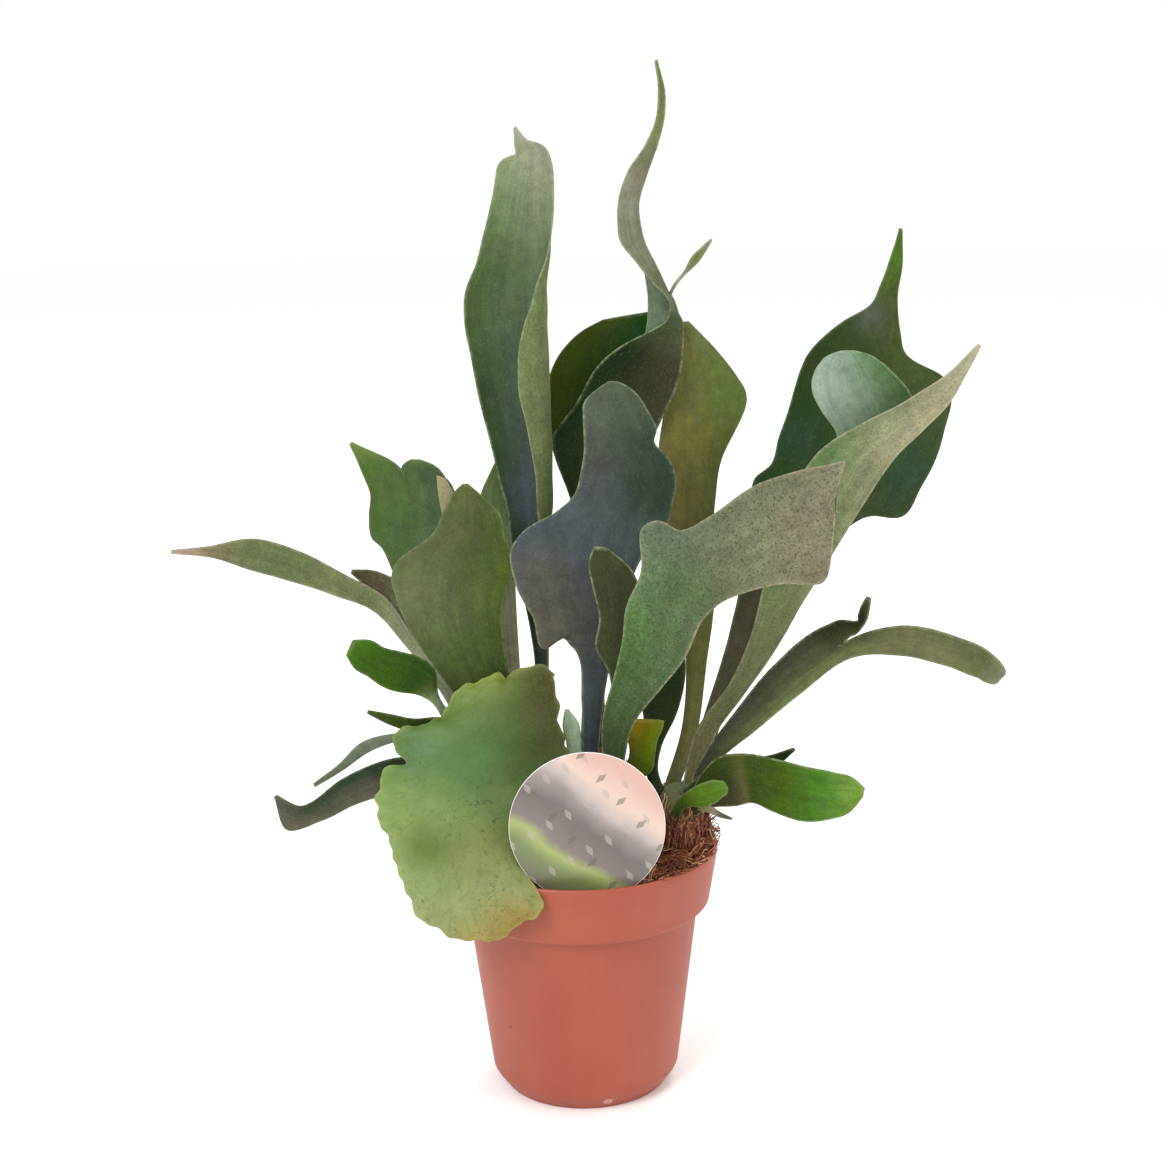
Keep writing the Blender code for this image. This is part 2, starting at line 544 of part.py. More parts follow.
FRONDS["long_left_frond"] = ("rhizome_left", dict(turn=-0.2, lean=0, knots=[
    stem((-43, 1.5, 148), (3, 3)), stem((-56, 2, 179), (3.2, 3.2)), stem((-71, 0, 205), (5, 5))],
    lobes=[(0, 0.5, dict(knots=[
        stem((-84, -1, 220), (4.5, 5)), stem((-101, -2, 231), (7, 5)), stem((-120, -3, 238), (7, 7)),
        stem((-139, -3, 243), (6, 7)), stem((-156, -3, 245), (2.5, 2)),
        stem((-172, -3, 245), (0.6, 0.6))])),
           (0.5, 1, dict(knots=[stem((-82, 6, 226), (4, 5)), stem((-99, 8, 233), (1.2, 1.2))]))]))

FRONDS["bright_left_frond"] = ("rhizome_left", dict(turn=0.3, lean=0, knots=[
    stem((-44, -4.5, 148), (2.5, 2.5)), stem((-57, -9, 176), (1.8, 1.8)), stem((-65, -10, 184), (3, 5)),
    stem((-76, -11, 191), (8, 9)), stem((-87, -11, 196), (9.5, 9.5)), stem((-95, -11, 201), (6.5, 5.5)),
    stem((-100, -11, 203.5), (3.5, 3)), stem((-102, -11, 204.5), (1, 0.8))]))

FRONDS["narrow_left_frond"] = ("rhizome_left", dict(turn=0, lean=0, steps=2, knots=[
    stem((-45, -9.5, 147), (2, 2)), stem((-60, -14, 171), (2, 2)), stem((-71, -15, 169), (2, 3.5)),
    stem((-80, -15, 172), (2, 2.5)), stem((-90, -15, 176), (0.7, 0.7))]))

FRONDS["thin_left_frond"] = ("rhizome_left", dict(turn=-0.2, lean=0, steps=2, knots=[
    stem((-40, -15, 147), (1.8, 1.8)), stem((-77, -17, 165), (1.8, 1.8)), stem((-92, -18, 161), (2.5, 2.5)),
    stem((-102, -19, 153), (1.5, 1.5)), stem((-114, -19, 145), (0.7, 0.7))]))

FRONDS["low_left_frond"] = ("rhizome_left", dict(turn=-0.1, lean=0, steps=2, knots=[
    stem((-45, -14, 138), (2.5, 2.5)), stem((-77, -20, 150), (9, 7)), stem((-99, -22, 143), (6.5, 6)),
    stem((-113, -23, 134), (4, 5)), stem((-123, -24, 132), (6, 6)), stem((-130, -24, 142), (0.8, 0.8))]))

FRONDS["behind_left_frond"] = ("rhizome_left", dict(turn=0, lean=20, knots=[
    stem((-27, 8, 146), (3, 3)), stem((-29, 16, 190), (3, 3)), stem((-31, 21, 217), (4, 4)),
    stem((-33, 24, 243), (6, 6)), rib((-41, 25, 262), (-28, 25, 262)), rib((-37, 25, 271), (-28, 25, 272)),
    rib((-34, 25, 277), (-31, 25, 277))]))

for name, (held_by, frond) in FRONDS.items():
    stalk = frond["knots"][0]["wide"][0]
    make_frond(name, frond, leaf, stalk)
    socket(name, frond, rhizomes[held_by], stalk)

# Shield frond: a domed plate that lies over the rim at the front left, bottom row first.
# Its right-hand margin sits in a groove of the middle rhizome.
SHIELD = dict(knots=[
    rib((-47, -57, 88), (-36, -60, 90)), rib((-58, -53, 90), (-24, -62, 98), -2),
    rib((-67, -49, 95), (-17, -63, 104), -4),
    rib((-73, -45, 103), (-24, -58, 111), -5), rib((-77, -41, 114), (-30, -49, 116), -7),
    rib((-82, -36, 128), (-24, -40, 127), -10), rib((-86, -32, 142), (-3, -13, 139), -13),
    rib((-84, -30, 149), (-2, -13, 146), -13), rib((-75, -28, 157), (-4, -18, 153), -12),
    rib((-78, -24, 166), (-5, -19, 161), -11), rib((-70, -22, 171), (-7, -18, 167), -9),
    rib((-57, -20, 175), (-8, -17, 171), -6), rib((-50, -18, 184), (-11, -15, 180), -4),
    rib((-43, -17, 188), (-12, -14, 187), -2), rib((-34, -17, 191), (-14, -14, 192))])
SHIELD_COLUMNS = 8
GROOVE_ROWS = (5, 9)

points, triangles, _ = frond_surface(SHIELD, SHIELD_COLUMNS)
shield = new_object("shield_frond", points, triangles, shield_leaf)
solid = shield.modifiers.new("thickness", "SOLIDIFY")
solid.thickness = BLADE * MM
solid.offset = 0
solid.use_quality_normals = True

wide = SHIELD_COLUMNS + 1
groove_points = []
for row in range(GROOVE_ROWS[0], GROOVE_ROWS[1] + 1):
    inner = points[row * wide + SHIELD_COLUMNS - 2]
    outer = points[row * wide + SHIELD_COLUMNS]
    groove_points += [inner, points[row * wide + SHIELD_COLUMNS - 1], outer + unit(outer - inner) * 0.6]
groove_faces = []
for row in range(GROOVE_ROWS[1] - GROOVE_ROWS[0]):
    for column in range(2):
        a = row * 3 + column
        groove_faces += [(a, a + 1, a + 4), (a, a + 4, a + 3)]
groove = new_object("shield_groove", groove_points, groove_faces, None, cutters)
thick = groove.modifiers.new("thickness", "SOLIDIFY")
thick.thickness = (BLADE + 2 * GAP) * MM
thick.offset = 0
thick.use_quality_normals = True
cut(rhizomes["rhizome_centre"], groove)

# Card: a round printed card on a stake that leans back into the substrate
CARD_CENTRE = (2.6, -51.0, 135.0)
CARD_RADIUS = 32.5
CARD_THICKNESS = 0.8
STAKE_WIDTH = 9.0
STAKE_TOP_Z = 101.0
STAKE_END_Z = 64.0
STAKE_LEAN = math.tan(math.radians(10))


def card_solid(name, home, surface, grow):
    """The card and its stake, grown all round by grow mm."""
    sides = 48
    outline = []
    half = STAKE_WIDTH / 2 + grow
    radius = CARD_RADIUS + grow
    start = math.acos(half / radius)
    for k in range(sides + 1):
        turn = -start + (math.pi + 2 * start) * k / sides
        outline.append((CARD_CENTRE[0] + radius * math.cos(turn), CARD_CENTRE[2] + radius * math.sin(turn)))
    thick = CARD_THICKNESS / 2 + grow

    def back(z):
        return max(0.0, STAKE_TOP_Z - z) * STAKE_LEAN

    stake = [(CARD_CENTRE[0] - half, STAKE_TOP_Z), (CARD_CENTRE[0] - half, STAKE_END_Z + 8),
             (CARD_CENTRE[0], STAKE_END_Z - 2 * grow), (CARD_CENTRE[0] + half, STAKE_END_Z + 8),
             (CARD_CENTRE[0] + half, STAKE_TOP_Z)]
    points = []
    for side in (-1, 1):
        y = CARD_CENTRE[1] + side * thick
        points += [(x, y, z) for x, z in outline]
        points += [(x, y + back(z), z) for x, z in stake]
    count = len(points) // 2
    disc = sides + 1
    front = [(0, k, k + 1) for k in range(1, sides)]
    a, b, c, d, e = disc, disc + 1, disc + 2, disc + 3, disc + 4
    front += [(sides, a, 0), (a, e, 0), (a, b, e), (b, d, e), (b, c, d)]
    edge = list(range(sides + 1)) + [a, b, c, d, e]
    faces = front + [tuple(i + count for i in reversed(f)) for f in front]
    for i, first in enumerate(edge):
        second = edge[(i + 1) % len(edge)]
        faces += [(first, second + count, second), (first, first + count, second + count)]
    return new_object(name, points, faces, surface, home, smooth=False)


label = card_solid("plant_label", plant, card, 0.0)
slot = card_solid("label_slot", cutters, None, GAP)
cut(substrate, slot)
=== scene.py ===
"""Staghorn fern in a 12 cm nursery pot: the finish of every piece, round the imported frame.

The frame is in metres, +Z up, with its origin under the middle of the pot and -Y at the front.
Shapes are drawn in mm and turned to metres when their mesh is made.
"""
import math

import bpy
import numpy as np
from mathutils import Matrix, Vector


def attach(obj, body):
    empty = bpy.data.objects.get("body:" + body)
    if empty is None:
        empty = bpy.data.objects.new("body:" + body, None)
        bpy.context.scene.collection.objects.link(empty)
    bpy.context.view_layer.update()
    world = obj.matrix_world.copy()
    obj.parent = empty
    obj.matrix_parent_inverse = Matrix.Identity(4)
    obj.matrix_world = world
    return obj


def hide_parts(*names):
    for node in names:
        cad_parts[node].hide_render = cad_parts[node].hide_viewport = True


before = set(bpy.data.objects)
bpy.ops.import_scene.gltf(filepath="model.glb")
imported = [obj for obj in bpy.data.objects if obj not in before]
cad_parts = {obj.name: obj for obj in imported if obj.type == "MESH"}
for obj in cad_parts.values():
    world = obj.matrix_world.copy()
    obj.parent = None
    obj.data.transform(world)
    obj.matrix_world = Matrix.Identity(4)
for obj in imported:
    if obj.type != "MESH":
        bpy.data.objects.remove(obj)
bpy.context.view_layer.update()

# The room: a pale floor under an even white surround, with three soft lights, as for a
# product photograph. The camera stands 0.84 m in front and looks a little down on the plant.
MM = 0.001
EYE = np.array((3.3, -837.0, 417.0))
LOOK_DOWN = math.radians(12.8)
ROLL = math.radians(-1.12)
PICTURE_SIDE = 1168            # pixels
PICTURE_DEPTH = 2000           # from the lens to the picture, in the same pixels
SENSOR = 36.0
FLOOR_RADIUS = 6000.0
FLOOR_SIDES = 64


def linear(code):
    """Red, green and blue of an sRGB hex colour, as linear values."""
    parts = [int(code[i:i + 2], 16) / 255 for i in (1, 3, 5)]
    return tuple(c / 12.92 if c <= 0.04045 else ((c + 0.055) / 1.055) ** 2.4 for c in parts)


def add(tree, kind, values=None, stops=(), **settings):
    """Adds a node. values fills its inputs with numbers or hex colours, or links them to another
    node, by its first output in use, or to one of its outputs. stops are a colour ramp's places
    and colours."""
    node = tree.nodes.new(kind)
    for key, value in settings.items():
        setattr(node, key, value)
    for key, value in (values or {}).items():
        if isinstance(value, bpy.types.Node):
            value = next(socket for socket in value.outputs if socket.enabled)
        if isinstance(value, bpy.types.NodeSocket):
            tree.links.new(value, node.inputs[key])
        else:
            node.inputs[key].default_value = (*linear(value), 1) if str(value).startswith("#") else value
    for stop, colour in stops:
        node.color_ramp.elements.new(stop).color = (*colour, 1)
    if stops:
        node.color_ramp.elements.remove(node.color_ramp.elements[-1])
        node.color_ramp.elements.remove(node.color_ramp.elements[0])
    return node


def new_material(name):
    made = bpy.data.materials.new(name)
    made.use_nodes = True
    made.node_tree.nodes.clear()
    return made, made.node_tree


def new_object(name, points, faces, materials=(), choice=None):
    """A smooth mesh object from points in mm. choice gives the number of each face's material."""
    mesh = bpy.data.meshes.new(name)
    mesh.from_pydata((np.asarray(points, float) * MM).tolist(), [], [tuple(map(int, f)) for f in faces])
    for surface in materials:
        mesh.materials.append(surface)
    mesh.polygons.foreach_set("use_smooth", [True] * len(mesh.polygons))
    if choice is not None:
        mesh.polygons.foreach_set("material_index", np.asarray(choice, np.int32))
    made = bpy.data.objects.new(name, mesh)
    bpy.context.scene.collection.objects.link(made)
    return made


surround = bpy.data.worlds.new("white surround")
surround.use_nodes = True
surround.node_tree.nodes["Background"].inputs["Color"].default_value = (1, 1, 1, 1)
surround.node_tree.nodes["Background"].inputs["Strength"].default_value = 1.0
bpy.context.scene.world = surround
bpy.context.scene.view_settings.view_transform = "Standard"

floor_paint, tree = new_material("pale floor paint")
shader = add(tree, "ShaderNodeBsdfPrincipled", {"Base Color": "#fcfcfb", "Roughness": 0.9})
add(tree, "ShaderNodeOutputMaterial", {"Surface": shader})
floor_turns = [math.tau * k / FLOOR_SIDES for k in range(FLOOR_SIDES)]
floor_ring = [(FLOOR_RADIUS * math.cos(turn), FLOOR_RADIUS * math.sin(turn), 0) for turn in floor_turns]
floor = new_object("floor", floor_ring, [range(FLOOR_SIDES)], [floor_paint])


def soft_light(name, place, aim, side, watts, colour):
    """A square area light that faces its aim. Its side and places are in metres."""
    lamp = bpy.data.lights.new(name, "AREA")
    lamp.size = side
    lamp.energy = watts
    lamp.color = linear(colour)
    made = bpy.data.objects.new(name, lamp)
    made.location = place
    made.rotation_euler = (Vector(aim) - Vector(place)).to_track_quat("-Z", "Y").to_euler()
    bpy.context.scene.collection.objects.link(made)


soft_light("window", (-1.1, -1.6, 1.7), (0, 0, 0.25), 1.1, 36, "#f8fbff")
soft_light("warm_fill", (1.6, -1.0, 0.9), (0, 0, 0.15), 1.0, 8, "#fff4e8")
soft_light("back_light", (0.8, 1.8, 1.6), (0, 0, 0.3), 1.0, 18, "#ffffff")

camera_data = bpy.data.cameras.new("camera")
camera_data.sensor_width = SENSOR
camera_data.lens = SENSOR * PICTURE_DEPTH / PICTURE_SIDE
camera = bpy.data.objects.new("camera", camera_data)
forward = Vector((0, math.cos(LOOK_DOWN), -math.sin(LOOK_DOWN)))
level = Vector((1, 0, 0))
upward = level.cross(forward)
right = level * math.cos(ROLL) + upward * math.sin(ROLL)
above = upward * math.cos(ROLL) - level * math.sin(ROLL)
turned = Matrix((right, above, -forward)).transposed().to_4x4()
camera.matrix_world = Matrix.Translation(Vector(EYE * MM)) @ turned
bpy.context.scene.collection.objects.link(camera)
bpy.context.scene.camera = camera

# The pot: a 12 cm nursery pot, one injection moulding of terracotta-coloured polypropylene,
# with a stepped-out collar to hold it in its tray and four drain holes in its floor.
POT_SIDES = 180
DRAINS = 4
DRAIN_RADIUS = 3.5
DRAIN_CIRCLE = 26.0
DRAIN_SIDES = 32
DRAIN_CUT = (-2, 4)            # what makes a drain reaches from under the floor to above it
POT_PROFILE = [                # radius, height, and how far each corner is rounded: inside first
    (0, 2.2, 0), (34.0, 2.2, 1.0), (40.0, 7.8, 3.0), (49.5, 84.9, 1.5), (54.5, 86.7, 1.5), (58.3, 109.7, 0.3),
    (58.8, 110.5, 0.3), (59.5, 110.5, 0.3), (60.0, 109.7, 0.3), (59.9, 107.5, 0.3), (56.2, 85.5, 0.8),
    (55.2, 84.3, 0.6), (51.6, 83.7, 0.8), (51.0, 82.3, 0.8), (41.6, 8.2, 1.2), (40.8, 6.6, 1.2),
    (36.0, 0, 0.8), (0, 0, 0)]
POT_MARKS = [                  # a dark speck, a pale scuff and a dark nick: place, radius, colour
    ((-32.3, -31.5, 37.5), 0.9, "#6b3226"), ((9.5, -38.5, 4.0), 2.4, "#b98374"),
    ((34.0, -22.5, 9.0), 1.2, "#5c3226")]


def rounded(corners, steps=4, share=0.4, long=4, guard=0.5):
    """The profile with each corner made a short curve, which takes at most share of a side. On a
    long side a point just beyond the curve holds the flat."""
    out = []
    for i, (radius, height, bend) in enumerate(corners):
        corner = np.array((radius, height), float)
        if bend == 0:
            out.append(corner)
            continue
        before = np.array(corners[i - 1][:2]) - corner
        after = np.array(corners[i + 1][:2]) - corner
        reach = min(bend, share * np.linalg.norm(before), share * np.linalg.norm(after))
        start = corner + before / np.linalg.norm(before) * reach
        end = corner + after / np.linalg.norm(after) * reach
        if np.linalg.norm(before) > long:
            out.append(start + before / np.linalg.norm(before) * guard)
        for k in range(steps + 1):
            t = k / steps
            out.append((1 - t) ** 2 * start + 2 * t * (1 - t) * corner + t * t * end)
        if np.linalg.norm(after) > long:
            out.append(end + after / np.linalg.norm(after) * guard)
    return out


def turned_mesh(profile, sides):
    """A profile turned once round the Z axis. Its first and last points are on the axis."""
    points = [(0, 0, profile[0][1])]
    for radius, height in profile[1:-1]:
        for k in range(sides):
            turn = math.tau * k / sides
            points.append((radius * math.cos(turn), radius * math.sin(turn), height))
    points.append((0, 0, profile[-1][1]))
    faces = []
    rings = len(profile) - 2
    for k in range(sides):
        after = (k + 1) % sides
        faces.append((0, 1 + k, 1 + after))
        for ring in range(rings - 1):
            low = 1 + ring * sides
            faces.append((low + k, low + sides + k, low + sides + after, low + after))
        top = 1 + (rings - 1) * sides
        faces.append((top + after, top + k, len(points) - 1))
    return points, faces


def settled(made):
    """Turns the result of an object's modifiers into its own plain mesh."""
    depsgraph = bpy.context.evaluated_depsgraph_get()
    mesh = bpy.data.meshes.new_from_object(made.evaluated_get(depsgraph), preserve_all_data_layers=True,
                                           depsgraph=depsgraph)
    made.modifiers.clear()
    made.data = mesh
    mesh.name = made.name
    return made


# Moulded polypropylene: IOR 1.49 and a satin mould finish near 0.5 roughness. The pigment is
# a little uneven, so the colour clouds over some 45 mm, with faint upright flow marks.
terracotta, tree = new_material("moulded terracotta polypropylene")
place = add(tree, "ShaderNodeTexCoord").outputs["Object"]
clouds = add(tree, "ShaderNodeTexNoise", {"Vector": place, "Scale": 1 / (45 * MM), "Detail": 3.0})
cloud = add(tree, "ShaderNodeMapRange", {"Value": clouds, "From Min": 0.35, "From Max": 0.65})
colour = add(tree, "ShaderNodeMix", {0: cloud, 6: "#92402b", 7: "#994831"}, data_type="RGBA")
upright = add(tree, "ShaderNodeMapping", {"Vector": place, "Scale": (1, 1, 0.08)})
flow = add(tree, "ShaderNodeTexNoise", {"Vector": upright, "Scale": 1 / (7 * MM), "Detail": 2.0})
flow_tone = add(tree, "ShaderNodeMapRange", {"Value": flow, "To Min": 0.95, "To Max": 1.05})
colour = add(tree, "ShaderNodeHueSaturation", {"Value": flow_tone, "Color": colour})
ragged = add(tree, "ShaderNodeTexNoise", {"Vector": place, "Scale": 1 / (1.2 * MM), "Detail": 3.0})
wobble = add(tree, "ShaderNodeMath", {0: ragged, 1: 1.6 * MM}, operation="MULTIPLY")
# The marks have ragged edges that fade over 0.7 mm.
for spot, radius, code in POT_MARKS:
    away = add(tree, "ShaderNodeVectorMath", {0: place, 1: [c * MM for c in spot]}, operation="DISTANCE")
    edge = add(tree, "ShaderNodeMath", {0: away, 1: wobble})
    mask = add(tree, "ShaderNodeMapRange", {
        "Value": edge, "From Min": (radius + 1.1) * MM, "From Max": (radius + 0.4) * MM})
    colour = add(tree, "ShaderNodeMix", {0: mask, 6: colour, 7: code}, data_type="RGBA")
grain = add(tree, "ShaderNodeTexNoise", {"Vector": place, "Scale": 1 / (0.7 * MM), "Detail": 3.0})
shine = add(tree, "ShaderNodeMapRange", {"Value": grain, "To Min": 0.42, "To Max": 0.6})
bump = add(tree, "ShaderNodeBump", {"Height": grain, "Strength": 0.12, "Distance": 0.1 * MM})
shader = add(tree, "ShaderNodeBsdfPrincipled", {
    "Base Color": colour, "Roughness": shine, "IOR": 1.49, "Normal": bump})
add(tree, "ShaderNodeOutputMaterial", {"Surface": shader})

pot_points, pot_faces = turned_mesh(rounded(POT_PROFILE), POT_SIDES)
pot = new_object("nursery_pot", pot_points, pot_faces, [terracotta])
low, high = DRAIN_CUT
drain_profile = [(0, low), (DRAIN_RADIUS, low), (DRAIN_RADIUS, high), (0, high)]
for number in range(DRAINS):
    turn = math.radians(45) + math.tau * number / DRAINS
    drain_points, drain_faces = turned_mesh(drain_profile, DRAIN_SIDES)
    drain_points = np.array(drain_points) + (DRAIN_CIRCLE * math.cos(turn), DRAIN_CIRCLE * math.sin(turn), 0)
    drain = new_object(f"drain_{number}", drain_points, [tuple(reversed(f)) for f in drain_faces])
    cut = pot.modifiers.new("drain", "BOOLEAN")
    cut.operation = "DIFFERENCE"
    cut.solver = "EXACT"
    cut.object = drain
    settled(pot)
    bpy.data.objects.remove(drain)
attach(pot, "root")
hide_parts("pot")

# The substrate: coir fibre, bark and old roots that fill the pot, heaped towards the
# right-hand crown. Its fibres lie over each other, and some hang over the rim there.
SOIL_SIDES = 220
SOIL_RINGS = 60
SOIL_EDGE_RADIUS = 57.2
SOIL_EDGE_Z = 105.0
SOIL_DOME = 7.0                # how far it rises from its edge to its middle
SOIL_WALL = [(33.4, 2.55), (39.4, 8.4), (48.9, 85.3), (53.9, 87.2), (56.6, 101.0)]    # radius, height
HEAP_X, HEAP_Y = 51, -5        # the middle of the heap
HEAP_RISE = 15.0
HEAP_SPREAD = 10.0
HEAP_LEFT, HEAP_BACK, HEAP_INNER = 26, 14, 38      # where the fibres that hang from it begin
CARD_CENTRE = (2.6, -51.0, 135.0)      # the label, which the fibres keep clear of
CARD_RADIUS = 32.5
CARD_GAP = (1.0, 1.2)          # how clear they stay, beside it and behind it
RIM_REST = 111.0               # height at which they lie on the rim
DROP_FROM = 300.0              # a height above every fibre, from which each is laid down
HOLLOW_GAP = 0.4               # room round a rhizome in its hollow
BLUNT = 2.6                    # 2 is an ellipsoid, larger is more like a cushion
RHIZOMES = {                   # centre and radii
    "rhizome_left": ((-33, -4, 122), (21, 21, 34)),
    "rhizome_centre": ((8, -1, 118), (17, 19, 32)),
    "rhizome_right": ((43.5, -4, 117), (11.5, 16.5, 20)),
}


def soil_height(x, y):
    """Height of the substrate, with crumbs, and hollows that the rhizomes sit in."""
    out = np.hypot(x, y) / SOIL_EDGE_RADIUS
    heap = HEAP_RISE * np.exp(-((x - HEAP_X) ** 2 + (y - HEAP_Y) ** 2) / (2 * HEAP_SPREAD ** 2))
    crumbs = 0.7 * np.sin(x / 4.1 + 1) * np.sin(y / 3.7) + 0.4 * np.sin(x / 2.3 - y / 2.9)
    fine = (0.5 * np.sin(x / 1.3 + 2 * np.sin(y / 1.9)) * np.sin(y / 1.1 - x / 2.7)
            + 0.3 * np.sin(x / 0.7 - y / 0.9 + 3 * np.sin(x / 2.1)))
    height = SOIL_EDGE_Z + SOIL_DOME * (1 - out ** 2) + heap + crumbs + fine * (1 - out ** 8)
    for (cx, cy, cz), (rx, ry, rz) in RHIZOMES.values():
        near = np.hypot((x - cx) / (rx + HOLLOW_GAP), (y - cy) / (ry + HOLLOW_GAP))
        under = cz - (rz + HOLLOW_GAP) * np.clip(1 - np.clip(near, 0, 1) ** BLUNT, 0, 1) ** (1 / BLUNT)
        height = np.where(near < 1, np.minimum(height, under), height)
    return height


# Damp coir and bark: dull fibre near 0.9 roughness, from nearly black in the gaps to
# foxy brown, in crumbs of 3 mm with strands of 0.5 mm.
coir, tree = new_material("damp coir and bark")
place = add(tree, "ShaderNodeTexCoord").outputs["Object"]
crumb = add(tree, "ShaderNodeTexNoise", {"Vector": place, "Scale": 1 / (3 * MM), "Detail": 5.0})
strand = add(tree, "ShaderNodeTexNoise", {"Vector": place, "Scale": 1 / (0.5 * MM), "Detail": 2.0})
tones = add(tree, "ShaderNodeValToRGB", {"Fac": crumb}, stops=[
    (stop, linear(code)) for stop, code in ((0.3, "#2a100a"), (0.45, "#562612"), (0.6, "#804028"),
                                            (0.75, "#9a5e3a"))])
rough = add(tree, "ShaderNodeBump", {"Height": strand, "Strength": 0.8, "Distance": 0.5 * MM})
shader = add(tree, "ShaderNodeBsdfPrincipled", {"Base Color": tones, "Roughness": 0.9, "Normal": rough})
add(tree, "ShaderNodeOutputMaterial", {"Surface": shader})

soil_top = [(radius, 0) for radius in np.linspace(SOIL_EDGE_RADIUS, 0, SOIL_RINGS)]
soil_points, soil_faces = turned_mesh([(0.0, SOIL_WALL[0][1])] + SOIL_WALL + soil_top, SOIL_SIDES)
soil_points = np.array(soil_points)
top = 1 + len(SOIL_WALL) * SOIL_SIDES
soil_points[top:, 2] = soil_height(soil_points[top:, 0], soil_points[top:, 1])
soil_faces = [tuple(reversed(f)) for f in soil_faces]
substrate = new_object("substrate_fill", soil_points, soil_faces, [coir])
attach(substrate, "root")
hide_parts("substrate")


def new_growth(name, inputs):
    """A Geometry Nodes tree with a mesh in and out, and what else it is given: kind and usual value."""
    tree = bpy.data.node_groups.new(name, "GeometryNodeTree")
    tree.interface.new_socket("Geometry", in_out="OUTPUT", socket_type="NodeSocketGeometry")
    tree.interface.new_socket("Geometry", in_out="INPUT", socket_type="NodeSocketGeometry")
    for label, (kind, value) in inputs.items():
        made = tree.interface.new_socket(label, in_out="INPUT", socket_type="NodeSocket" + kind)
        made.default_value = value
    return tree, add(tree, "NodeGroupInput").outputs


def grown(name, host, tree, values):
    """Runs a tree on a host mesh and keeps what it makes as an object with a plain mesh."""
    made = bpy.data.objects.new(name, host)
    bpy.context.scene.collection.objects.link(made)
    modifier = made.modifiers.new("growth", "NODES")
    modifier.node_group = tree
    for item in tree.interface.items_tree:
        if item.in_out == "INPUT" and item.name in values:
            modifier[item.identifier] = values[item.name]
    return settled(made)


# Coir fibre: dry, springy strands 0.4 mm across, foxy brown, some bleached to straw.
fibre, tree = new_material("dry coir fibre")
tone = add(tree, "ShaderNodeAttribute", attribute_name="tone").outputs["Fac"]
tones = add(tree, "ShaderNodeValToRGB", {"Fac": tone}, stops=[
    (stop, linear(code)) for stop, code in ((0.25, "#54220f"), (0.6, "#8e4e2e"), (0.85, "#b06a40"),
                                            (0.95, "#cba67a"))])
shader = add(tree, "ShaderNodeBsdfPrincipled", {"Base Color": tones, "Roughness": 0.75})
add(tree, "ShaderNodeOutputMaterial", {"Surface": shader})

# The fibres are strewn over the faces that look up by at least Facing. They wave by Bend, stay
# within Reach of the pot's middle, and lie at most Above over the Ground.
fibre_tree, given = new_growth("coir fibres", {
    "Per square metre": ("Float", 90000.0), "Facing": ("Float", 0.5), "Length": ("Float", 0.028),
    "Thickness": ("Float", 0.0002), "Bend": ("Float", 0.012), "Lift": ("Float", 0.0008),
    "Reach": ("Float", 0.0565), "Above": ("Float", 0.0016), "Ground": ("Object", None), "Seed": ("Int", 3)})
facing = add(fibre_tree, "ShaderNodeSeparateXYZ", {0: add(fibre_tree, "GeometryNodeInputNormal")})
upward_faces = add(fibre_tree, "FunctionNodeCompare", {0: facing.outputs["Z"], 1: given["Facing"]},
                   operation="GREATER_THAN")
seeds = add(fibre_tree, "GeometryNodeDistributePointsOnFaces", {
    "Mesh": given["Geometry"], "Selection": upward_faces, "Density": given["Per square metre"],
    "Seed": given["Seed"]})
spin = add(fibre_tree, "FunctionNodeRandomValue", {2: 0.0, 3: math.tau, "Seed": given["Seed"]},
           data_type="FLOAT")
about = add(fibre_tree, "FunctionNodeAxisAngleToRotation", {"Axis": (0, 0, 1), "Angle": spin})
lying = add(fibre_tree, "FunctionNodeRotateRotation", {
    "Rotation": seeds.outputs["Rotation"], "Rotate By": about}, rotation_space="LOCAL")
share = add(fibre_tree, "FunctionNodeRandomValue", {2: 0.5, 3: 1.3, "Seed": 11}, data_type="FLOAT")
end = add(fibre_tree, "ShaderNodeCombineXYZ", {"X": given["Length"]})
line = add(fibre_tree, "GeometryNodeCurvePrimitiveLine", {"End": end})
fine_line = add(fibre_tree, "GeometryNodeResampleCurve", {"Curve": line, "Count": 11})
laid = add(fibre_tree, "GeometryNodeInstanceOnPoints", {
    "Points": seeds.outputs["Points"], "Instance": fine_line, "Rotation": lying, "Scale": share})
tone_of = add(fibre_tree, "FunctionNodeRandomValue", {2: 0.0, 3: 1.0, "Seed": 5}, data_type="FLOAT")
toned = add(fibre_tree, "GeometryNodeStoreNamedAttribute", {
    "Geometry": laid, "Name": "tone", "Value": tone_of}, domain="INSTANCE", data_type="FLOAT")
real = add(fibre_tree, "GeometryNodeRealizeInstances", {"Geometry": toned})
where = add(fibre_tree, "GeometryNodeInputPosition")
# The noise is 0.5 on average, so they wave to all sides alike, and a little more up than down.
waves = add(fibre_tree, "ShaderNodeTexNoise", {"Vector": where, "Scale": 1 / (14 * MM), "Detail": 2.0})
swing = add(fibre_tree, "ShaderNodeVectorMath", {0: waves.outputs["Color"], 1: (0.5, 0.5, 0.42)},
            operation="SUBTRACT")
sway = add(fibre_tree, "ShaderNodeVectorMath", {0: swing, "Scale": given["Bend"]}, operation="SCALE")
lift = add(fibre_tree, "ShaderNodeCombineXYZ", {"Z": given["Lift"]})
shift = add(fibre_tree, "ShaderNodeVectorMath", {0: sway, 1: lift})
bent = add(fibre_tree, "GeometryNodeSetPosition", {"Geometry": real, "Offset": shift})
parts = add(fibre_tree, "ShaderNodeSeparateXYZ", {0: where})
flat = add(fibre_tree, "ShaderNodeCombineXYZ", {"X": parts.outputs["X"], "Y": parts.outputs["Y"]})
out = add(fibre_tree, "ShaderNodeVectorMath", {0: flat}, operation="LENGTH")
